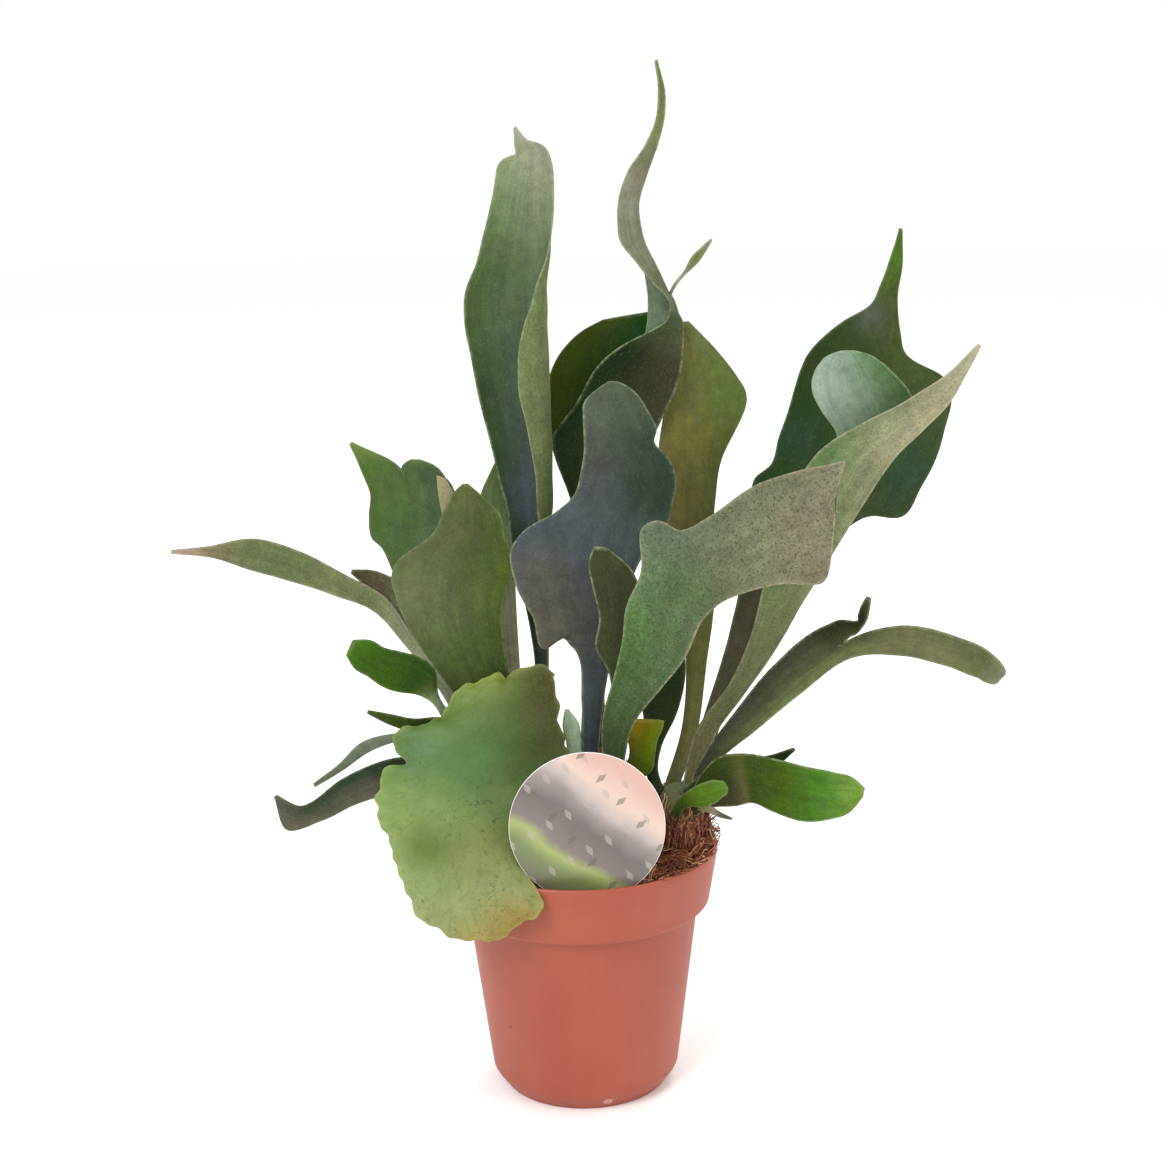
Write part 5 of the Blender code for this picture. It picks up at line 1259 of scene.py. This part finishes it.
FRONDS["low_left_frond"] = dict(turn=-0.1, lean=0, knots=[
    stem((-45, -14, 138), 2.5), stem((-77, -20, 150), (9, 7)), stem((-99, -22, 143), (6.5, 6)),
    stem((-113, -23, 134), (4, 5)), stem((-123, -24, 132), 6), stem((-130, -24, 142), 0.8)],
    front=[(0, "#5f5d4c", "#444837"), (0.5, "#6e6a58", "#2e402c"), (0.8, "#66634f", "#3a4632"),
           (1, "#5d5f4f")],
    back=[(0, "#5d5f4f"), (1, "#70735e")])

# Its pale tone low on it and its light of 1.5 are painted light over the shade that falls there.
FRONDS["behind_left_frond"] = dict(turn=0, lean=20, light=1.5, knots=[
    stem((-27, 8, 146), 3), stem((-29, 16, 190), 3), stem((-31, 21, 217), 4),
    stem((-33, 24, 243), 6), rib((-41, 25, 262), (-28, 25, 262)), rib((-37, 25, 271), (-28, 25, 272)),
    rib((-34, 25, 277), (-31, 25, 277))],
    front=[(0, "#a8a48c"), (0.5, "#8e8a72"), (0.75, "#576543"), (1, "#506038")],
    back=[(0, "#606b46"), (1, "#70785a")])

for number, (name, frond) in enumerate(FRONDS.items()):
    make_frond(number, name, frond)

# The felt's loose hairs along every margin, some 0.5 mm long, one every 0.8 mm. Real ones
# are finer and closer: these are as coarse as they need to be to show. Each is silvery
# over the tone of its own frond.
silver_hair, tree = new_material("silvery star hair")
tint = add(tree, "ShaderNodeAttribute", attribute_name="tint").outputs["Color"]
colour = add(tree, "ShaderNodeMix", {0: 0.3, 6: tint, 7: "#8d937c"}, data_type="RGBA")
shader = add(tree, "ShaderNodeBsdfPrincipled", {
    "Base Color": colour, "Roughness": 0.6, "Specular IOR Level": 0.1})
add(tree, "ShaderNodeOutputMaterial", {"Surface": shader})

host_points, host_edges, host_ways, host_tints = [], [], [], []
for points, edges, ring, outward, front in margins:
    place = np.full(len(points), -1)
    place[ring] = np.arange(len(ring)) + len(host_points)
    host_points.extend(points[ring] * MM)
    host_ways.extend(outward)
    host_tints.extend(front[ring])
    host_edges.extend(place[edges].tolist())
margin_mesh = bpy.data.meshes.new("margins")
margin_mesh.from_pydata(np.array(host_points).tolist(), host_edges, [])
store(margin_mesh, "away", host_ways)
store(margin_mesh, "tint", np.insert(host_tints, 3, 1, axis=1))

hair_tree, given = new_growth("margin hairs", {
    "Spacing": ("Float", 0.0008), "Length": ("Float", 0.0005), "Thickness": ("Float", 0.00004),
    "Seed": ("Int", 7)})
lines = add(hair_tree, "GeometryNodeMeshToCurve", {"Mesh": given["Geometry"]})
dots = add(hair_tree, "GeometryNodeCurveToPoints", {"Curve": lines, "Length": given["Spacing"]},
           mode="LENGTH")
away = add(hair_tree, "GeometryNodeInputNamedAttribute", {"Name": "away"}, data_type="FLOAT_VECTOR")
stray = add(hair_tree, "FunctionNodeRandomValue", {
    0: (-0.8, -0.8, -0.8), 1: (0.8, 0.8, 0.8), "Seed": given["Seed"]}, data_type="FLOAT_VECTOR")
way = add(hair_tree, "ShaderNodeVectorMath", {0: away, 1: stray})
turned_to = add(hair_tree, "FunctionNodeAlignRotationToVector", {"Vector": way}, axis="Z")
spike = add(hair_tree, "GeometryNodeMeshCone", {
    "Vertices": 3, "Radius Bottom": given["Thickness"], "Depth": given["Length"]}, fill_type="TRIANGLE_FAN")
size = add(hair_tree, "FunctionNodeRandomValue", {2: 0.6, 3: 1.3, "Seed": 12}, data_type="FLOAT")
laid = add(hair_tree, "GeometryNodeInstanceOnPoints", {
    "Points": dots, "Instance": spike, "Rotation": turned_to, "Scale": size})
real = add(hair_tree, "GeometryNodeRealizeInstances", {"Geometry": laid})
shown = add(hair_tree, "GeometryNodeSetMaterial", {"Geometry": real, "Material": silver_hair})
add(hair_tree, "NodeGroupOutput", {"Geometry": shown})
hairs = grown("margin_hairs", margin_mesh, hair_tree, {"Seed": 7})
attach(hairs, "root")

# The shield frond: a domed round plate that lies over the rim at the front left and will
# clasp the pot. It is fleshy and hairless, with a net of sunken veins and a scalloped margin.
SHIELD = dict(knots=[
    rib((-47, -57, 88), (-36, -60, 90)), rib((-58, -53, 90), (-24, -62, 98), -2),
    rib((-67, -49, 95), (-17, -63, 104), -4),
    rib((-73, -45, 103), (-18.5, -57, 110), -5), rib((-77, -41, 114), (-24.5, -49, 117), -7),
    rib((-82, -37, 128), (-24, -40, 127), -10), rib((-85.6, -34, 141), (-3, -13, 139), -13),
    rib((-84.6, -31, 149.5), (-3, -14, 147), -13), rib((-80.5, -29.5, 156), (-4, -16, 152), -12),
    rib((-74, -28, 157.2), (-4.5, -17, 157), -12), rib((-78, -26.5, 162), (-6, -18, 162), -11),
    rib((-77.8, -25, 168), (-7.5, -18, 167), -10), rib((-73.5, -24, 171.4), (-8.6, -18, 171), -9),
    rib((-59.5, -22, 173.8), (-9, -17, 176), -7), rib((-56.1, -20, 179.6), (-9.3, -16, 181.5), -5),
    rib((-53.4, -19, 184), (-10, -15, 186.5), -4), rib((-46, -18, 188.2), (-10.8, -15, 190), -3),
    rib((-38.8, -17, 190.8), (-11.2, -14, 192), -2), rib((-36, -17, 191), (-13.4, -14, 193.8), -1, -2.2)])
SHIELD_TONES = [(0, "#b3a35c", "#b5984f"), (0.06, "#a6ac70", "#ac9f58"), (0.16, "#a0b074", "#a0a86c"),
                (0.35, "#94a95e", "#899558"), (0.55, "#84a056", "#76865a"), (0.72, "#5f8036", "#535f2c"),
                (0.85, "#738c42", "#545a2e"), (1, "#8a9a40", "#525229")]
SHIELD_BACK = [(0, "#a3a86a"), (1, "#9aa868")]
SHIELD_PATCHES = [             # place in x and z, radius, colour and strength
    (-68, 162, 9, "#6c8f6a", 0.6), (-44, 156, 17, "#5a864c", 0.75), (-82, 128, 8, "#a3ba72", 0.9),
    (-78, 114, 8, "#a3ba72", 0.85), (-64, 126, 12, "#687b2c", 0.85), (-30, 143, 9, "#8a9a60", 0.6),
    (-44, 122, 12, "#8a8e4e", 0.6), (-13, 184, 11, "#4e451a", 0.9), (-12, 166, 8, "#55532a", 0.8),
    (-24, 98, 9, "#a8853c", 0.75)]
SHIELD_COLUMNS = 10 * QUARTER
SHIELD_ROW = 0.9
NOTCH_X, NOTCH_Z = -31, 184    # the notch that parts the lobe at its top right: its middle, and its foot
NOTCH_DEPTH = 3.2
NOTCH_WIDTH = 1.8
CALM_ROWS = 14                 # rows to each side over which the inner part is evened out
SCALLOP = 3.0                  # how far in from the margin the scallops reach
SHIELD_HEART = (-34.0, 168.0)  # where its veins start from
VEINS_ROUND = 16               # veins for each radian about the heart
VEIN_LENGTH = 9.0              # from one cross vein to the next
VEIN_WIDTH = 0.11              # in widths of a cell
VEIN_DEPTH = 0.10

points, distance, side, faces = frond_sheet(SHIELD, SHIELD_COLUMNS, SHIELD_ROW)
drawn = points.copy()
near = from_margin(points, np.unique(margin_of(faces, len(points))))
points[:, 2] -= (NOTCH_DEPTH * np.exp(-((points[:, 0] - NOTCH_X) / NOTCH_WIDTH) ** 2)
                 * np.clip((points[:, 2] - NOTCH_Z) / 9, 0, 1))
# The margin's notches die out 10 mm inside it.
lines = points.reshape(-1, SHIELD_COLUMNS + 1, 3)
calm = np.mean([lines[np.clip(np.arange(len(lines)) + step, 0, len(lines) - 1)]
                for step in range(-CALM_ROWS, CALM_ROWS + 1)], 0)
points = points + (calm.reshape(-1, 3) - points) * np.clip(near / 10, 0, 1)[:, None]
hub = points - points.mean(0)
turn = np.arctan2(hub[:, 0], hub[:, 2])
scallop = 0.7 * np.sin(turn * 19 + 2 * np.sin(hub[:, 2] / 9)) + 0.4 * np.sin(turn * 43)
points = points + unit(hub) * (scallop * np.exp(-(near / SCALLOP) ** 2))[:, None]
normals = sheet_normals(points, faces)
# Veins: a net of cells drawn out from the heart to the margin, 3.5 mm wide by 9 mm. A vein
# lies where the two nearest cell middles are equally far.
spoke = points[:, [0, 2]] - SHIELD_HEART
turn = np.arctan2(spoke[:, 0], -spoke[:, 1])
fan = np.stack([turn * VEINS_ROUND,
                np.hypot(spoke[:, 0], spoke[:, 1]) / VEIN_LENGTH + 0.5 * np.sin(7 * turn)], 1)
round_heart, outward_from_heart = np.meshgrid(np.arange(-51, 52), np.arange(-1, 13))
middles = np.stack([round_heart.ravel(), outward_from_heart.ravel()], 1).astype(float)
middles += np.random.default_rng(4).uniform(-0.45, 0.45, middles.shape)
gaps = []
for part in np.array_split(fan, 60):
    away = np.sqrt(((part[:, None] - middles[None]) ** 2).sum(2))
    away.partition(1, axis=1)
    gaps.append(away[:, 1] - away[:, 0])
vein = np.exp(-(np.concatenate(gaps) / VEIN_WIDTH) ** 2)
# It swells between the veins in soft bumps, and frills towards its margin.
swell = 0.6 * np.sin(points[:, 0] / 9 + 1) * np.sin(points[:, 2] / 11) * np.clip(near / 8, 0, 1)
frill = 0.5 * np.sin(points[:, 0] / 2.9 + points[:, 2] / 3.7) * np.exp(-near / 5)
points = points + normals * (swell + frill - VEIN_DEPTH * vein)[:, None]
normals = sheet_normals(points, faces)
solid, solid_faces, ring, outward = shell(points, normals, faces, np.full(len(points), BLADE))
tint = patched(tone_map(SHIELD_TONES, distance / distance.max(), side), drawn, side, SHIELD_PATCHES)
back_tint = tone_map(SHIELD_BACK, distance / distance.max(), side)
edge = np.exp(-(near / 0.9) ** 2)

# Shield skin: fleshy and smooth, IOR 1.45, near 0.48 roughness, with a little light passing
# through it. It is blotched at 9 mm, dulled at 1.2 mm, darker in its veins, and paler along
# its margin.
shield_skin, tree = new_material("fleshy shield frond skin")
place = add(tree, "ShaderNodeTexCoord").outputs["Object"]
tint_in = add(tree, "ShaderNodeAttribute", attribute_name="tint").outputs["Color"]
vein_in = add(tree, "ShaderNodeAttribute", attribute_name="vein").outputs["Fac"]
edge_in = add(tree, "ShaderNodeAttribute", attribute_name="edge").outputs["Fac"]
blotch = add(tree, "ShaderNodeTexNoise", {"Vector": place, "Scale": 1 / (9 * MM), "Detail": 4.0})
tone = add(tree, "ShaderNodeMapRange", {"Value": blotch, "From Min": 0.3, "From Max": 0.7,
                                        "To Min": 0.9, "To Max": 1.1})
colour = add(tree, "ShaderNodeHueSaturation", {"Value": tone, "Color": tint_in})
fine = add(tree, "ShaderNodeTexNoise", {"Vector": place, "Scale": 1 / (1.2 * MM), "Detail": 3.0})
dull = add(tree, "ShaderNodeMapRange", {"Value": fine, "From Min": 0.4, "From Max": 0.65, "To Max": 0.2})
colour = add(tree, "ShaderNodeMix", {0: dull, 6: colour, 7: "#5a7040"}, data_type="RGBA")
worn = add(tree, "ShaderNodeTexNoise", {"Vector": place, "Scale": 1 / (6 * MM), "Detail": 3.0})
worn_part = add(tree, "ShaderNodeMapRange", {"Value": worn, "From Min": 0.4, "From Max": 0.62,
                                             "To Min": 0.05, "To Max": 0.4})
vein_mask = add(tree, "ShaderNodeMath", {0: vein_in, 1: worn_part}, operation="MULTIPLY")
colour = add(tree, "ShaderNodeMix", {0: vein_mask, 6: colour, 7: "#3f5a20"}, data_type="RGBA")
# Fine cracks in the skin, 0.3 mm wide, in broken cells drawn out sideways. They gather in
# patches 25 mm wide.
shaken = add(tree, "ShaderNodeTexNoise", {"Vector": place, "Scale": 1 / (2.5 * MM), "Detail": 3.0})
shaken = add(tree, "ShaderNodeVectorMath", {0: shaken.outputs["Color"], "Scale": 2.2 * MM},
             operation="SCALE")
shaken = add(tree, "ShaderNodeVectorMath", {0: place, 1: shaken})
drawn_out = add(tree, "ShaderNodeMapping", {"Vector": shaken, "Scale": (0.6, 1, 1.2)})
cell = add(tree, "ShaderNodeTexVoronoi", {"Vector": drawn_out, "Scale": 1 / (2.6 * MM)},
           feature="DISTANCE_TO_EDGE")
crack = add(tree, "ShaderNodeMapRange", {"Value": cell, "From Min": 0.065, "From Max": 0.02})
broken = add(tree, "ShaderNodeTexNoise", {"Vector": place, "Scale": 1 / (2.2 * MM), "Detail": 3.0})
broken = add(tree, "ShaderNodeMapRange", {"Value": broken, "From Min": 0.5, "From Max": 0.6, "To Max": 0.6})
crack = add(tree, "ShaderNodeMath", {0: crack, 1: broken}, operation="MULTIPLY")
gathered = add(tree, "ShaderNodeTexNoise", {"Vector": place, "Scale": 1 / (25 * MM), "Detail": 2.0})
gathered = add(tree, "ShaderNodeMapRange", {"Value": gathered, "From Min": 0.42, "From Max": 0.6,
                                            "To Min": 0.15, "To Max": 1.2})
crack = add(tree, "ShaderNodeMath", {0: crack, 1: gathered}, operation="MULTIPLY")
colour = add(tree, "ShaderNodeMix", {0: crack, 6: colour, 7: "#35431b"}, data_type="RGBA")
edge_mask = add(tree, "ShaderNodeMath", {0: edge_in, 1: 0.22}, operation="MULTIPLY")
colour = add(tree, "ShaderNodeMix", {0: edge_mask, 6: colour, 7: "#a8aa66"}, data_type="RGBA")
bump = add(tree, "ShaderNodeBump", {"Height": fine, "Strength": 0.3, "Distance": 0.2 * MM})
shader = add(tree, "ShaderNodeBsdfPrincipled", {
    "Base Color": colour, "Roughness": 0.48, "IOR": 1.45, "Normal": bump,
    "Specular IOR Level": 0.25, "Subsurface Weight": 0.08, "Subsurface Radius": (0.001, 0.0015, 0.0005)})
add(tree, "ShaderNodeOutputMaterial", {"Surface": shader})
shield = new_object("shield_frond_plate", solid, solid_faces, [shield_skin])
colours = surface_colour(np.concatenate([tint, back_tint, tint[ring]]), 1)
store(shield.data, "tint", np.insert(colours, 3, 1, axis=1))
store(shield.data, "edge", np.concatenate([edge, edge, np.ones(len(ring))]))
store(shield.data, "vein", np.concatenate([vein, vein, np.zeros(len(ring))]))
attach(shield, "root")
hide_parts("shield_frond")

# The plant label: a round card, 0.8 mm of white plastic printed on its front, die cut in one
# piece with a pointed stake that bends back into the substrate.
CARD_THICKNESS = 0.8
STAKE_WIDTH = 9.0
STAKE_TOP_Z = 101.0
STAKE_END_Z = 64.0
STAKE_POINT = 8.0              # length of the stake's point
STAKE_LEAN = math.tan(math.radians(10))
CARD_SIDES = 120
CARD_ROUNDING = 0.15
CARD_LAYERS = [                # across its thickness, and how far in from the edge, in roundings
    (-0.5, 1), (-0.5, 0.35), (-0.42, 0), (0.42, 0), (0.5, 0.35), (0.5, 1)]

# White polypropylene sheet, IOR 1.5, calendered to 0.45 roughness, a little uneven in tone.
white_plastic, tree = new_material("white card plastic")
place = add(tree, "ShaderNodeTexCoord").outputs["Object"]
mottle = add(tree, "ShaderNodeTexNoise", {"Vector": place, "Scale": 1 / (6 * MM)})
colour = add(tree, "ShaderNodeMix", {0: mottle, 6: "#e6e4df", 7: "#f1efea"}, data_type="RGBA")
shader = add(tree, "ShaderNodeBsdfPrincipled", {"Base Color": colour, "Roughness": 0.45, "IOR": 1.5})
add(tree, "ShaderNodeOutputMaterial", {"Surface": shader})

# The print: plain slanting bands with a scatter of small lozenges, under a thin gloss varnish.
INK_LIGHT = 0.58               # how much of a tone seen in daylight is the ink's own
BAND_STOPS = [(0.04, "#7e7d5f"), (0.16, "#869759"), (0.26, "#b9c475"), (0.34, "#90847e"), (0.5, "#7b706d"),
              (0.62, "#a69a96"), (0.7, "#d8c7c1"), (0.8, "#fddecc"), (0.95, "#f3c4b6")]
LOZENGES = [(0.5, 9.0, "#c9bdb4"), (-0.9, 13.0, "#6b6a50")]    # turn, pitch and colour of each set


def ink(code):
    """The ink's own colour under a tone seen in daylight."""
    return tuple(c * INK_LIGHT for c in linear(code))


printed, tree = new_material("printed card face")
place = add(tree, "ShaderNodeTexCoord").outputs["Object"]
parts = add(tree, "ShaderNodeSeparateXYZ", {0: place})
sway = add(tree, "ShaderNodeTexNoise", {"Vector": place, "Scale": 1 / (22 * MM), "Detail": 4.0})
rise = add(tree, "ShaderNodeMath", {0: parts.outputs["X"], 1: 0.75, 2: parts.outputs["Z"]},
           operation="MULTIPLY_ADD")
bent = add(tree, "ShaderNodeMath", {0: sway, 1: 0.02, 2: rise}, operation="MULTIPLY_ADD")
across = add(tree, "ShaderNodeMapRange", {"Value": bent, "From Min": 0.105, "From Max": 0.185})
colour = add(tree, "ShaderNodeValToRGB", {"Fac": across}, stops=[
    (stop, ink(code)) for stop, code in BAND_STOPS])
for turn, pitch, code in LOZENGES:
    tipped = add(tree, "ShaderNodeMapping", {"Vector": place, "Rotation": (0, turn, 0)})
    axes = add(tree, "ShaderNodeSeparateXYZ", {0: tipped})
    folded = [add(tree, "ShaderNodeMath", {0: axes.outputs[axis], 1: size * MM}, operation="PINGPONG")
              for axis, size in (("X", pitch * 0.5), ("Z", pitch))]
    narrow = add(tree, "ShaderNodeMath", {0: folded[0], 1: 2.2, 2: folded[1]}, operation="MULTIPLY_ADD")
    lozenge = add(tree, "ShaderNodeMapRange", {
        "Value": narrow, "From Min": 3.2 * MM, "From Max": 2.7 * MM, "To Max": 0.6})
    colour = add(tree, "ShaderNodeMix", {0: lozenge, 6: colour, 7: (*ink(code), 1)}, data_type="RGBA")
shader = add(tree, "ShaderNodeBsdfPrincipled", {
    "Base Color": colour, "Roughness": 0.35, "IOR": 1.5, "Coat Weight": 0.2, "Coat Roughness": 0.15})
add(tree, "ShaderNodeOutputMaterial", {"Surface": shader})

# The outline runs once round the disc, from the stake's right side to its left, then down the
# stake and up again.
card_x, card_y, card_z = CARD_CENTRE
half = STAKE_WIDTH / 2
start = math.acos(half / CARD_RADIUS)
outline = []
for k in range(CARD_SIDES + 1):
    turn = -start + (math.pi + 2 * start) * k / CARD_SIDES
    outline.append((card_x + CARD_RADIUS * math.cos(turn), card_z + CARD_RADIUS * math.sin(turn)))
outline += [(card_x - half, STAKE_TOP_Z), (card_x - half, STAKE_END_Z + STAKE_POINT), (card_x, STAKE_END_Z),
            (card_x + half, STAKE_END_Z + STAKE_POINT), (card_x + half, STAKE_TOP_Z)]
outline = np.array(outline)
ahead = unit(np.roll(outline, -1, 0) - outline)
behind = unit(outline - np.roll(outline, 1, 0))
inward = unit(np.stack([-(ahead + behind)[:, 1], (ahead + behind)[:, 0]], 1))
layers = []
for lift, inset in CARD_LAYERS:
    xz = outline + inward * inset * CARD_ROUNDING
    y = card_y + lift * CARD_THICKNESS + np.maximum(STAKE_TOP_Z - xz[:, 1], 0) * STAKE_LEAN
    layers.append(np.stack([xz[:, 0], y, xz[:, 1]], 1))
count = len(outline)
disc = CARD_SIDES + 1
last = (len(layers) - 1) * count
faces = []
for low in range(0, last, count):
    for k in range(count):
        after = (k + 1) % count
        faces.append((low + after, low + k, low + count + k, low + count + after))
a, b, c, d, e = range(disc, disc + 5)
front = [tuple(range(disc)), (disc - 1, a, e, 0), (a, b, d, e), (b, c, d)]
choice = [1] * len(faces) + [0] + [1] * (2 * len(front) - 1)       # only the disc's front is printed
faces += front + [tuple(i + last for i in reversed(f)) for f in front]
label = new_object("plant_label_card", np.concatenate(layers), faces, [printed, white_plastic], choice)
label.data.polygons.foreach_set("use_smooth", [False] * len(faces))
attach(label, "root")
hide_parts("plant_label")
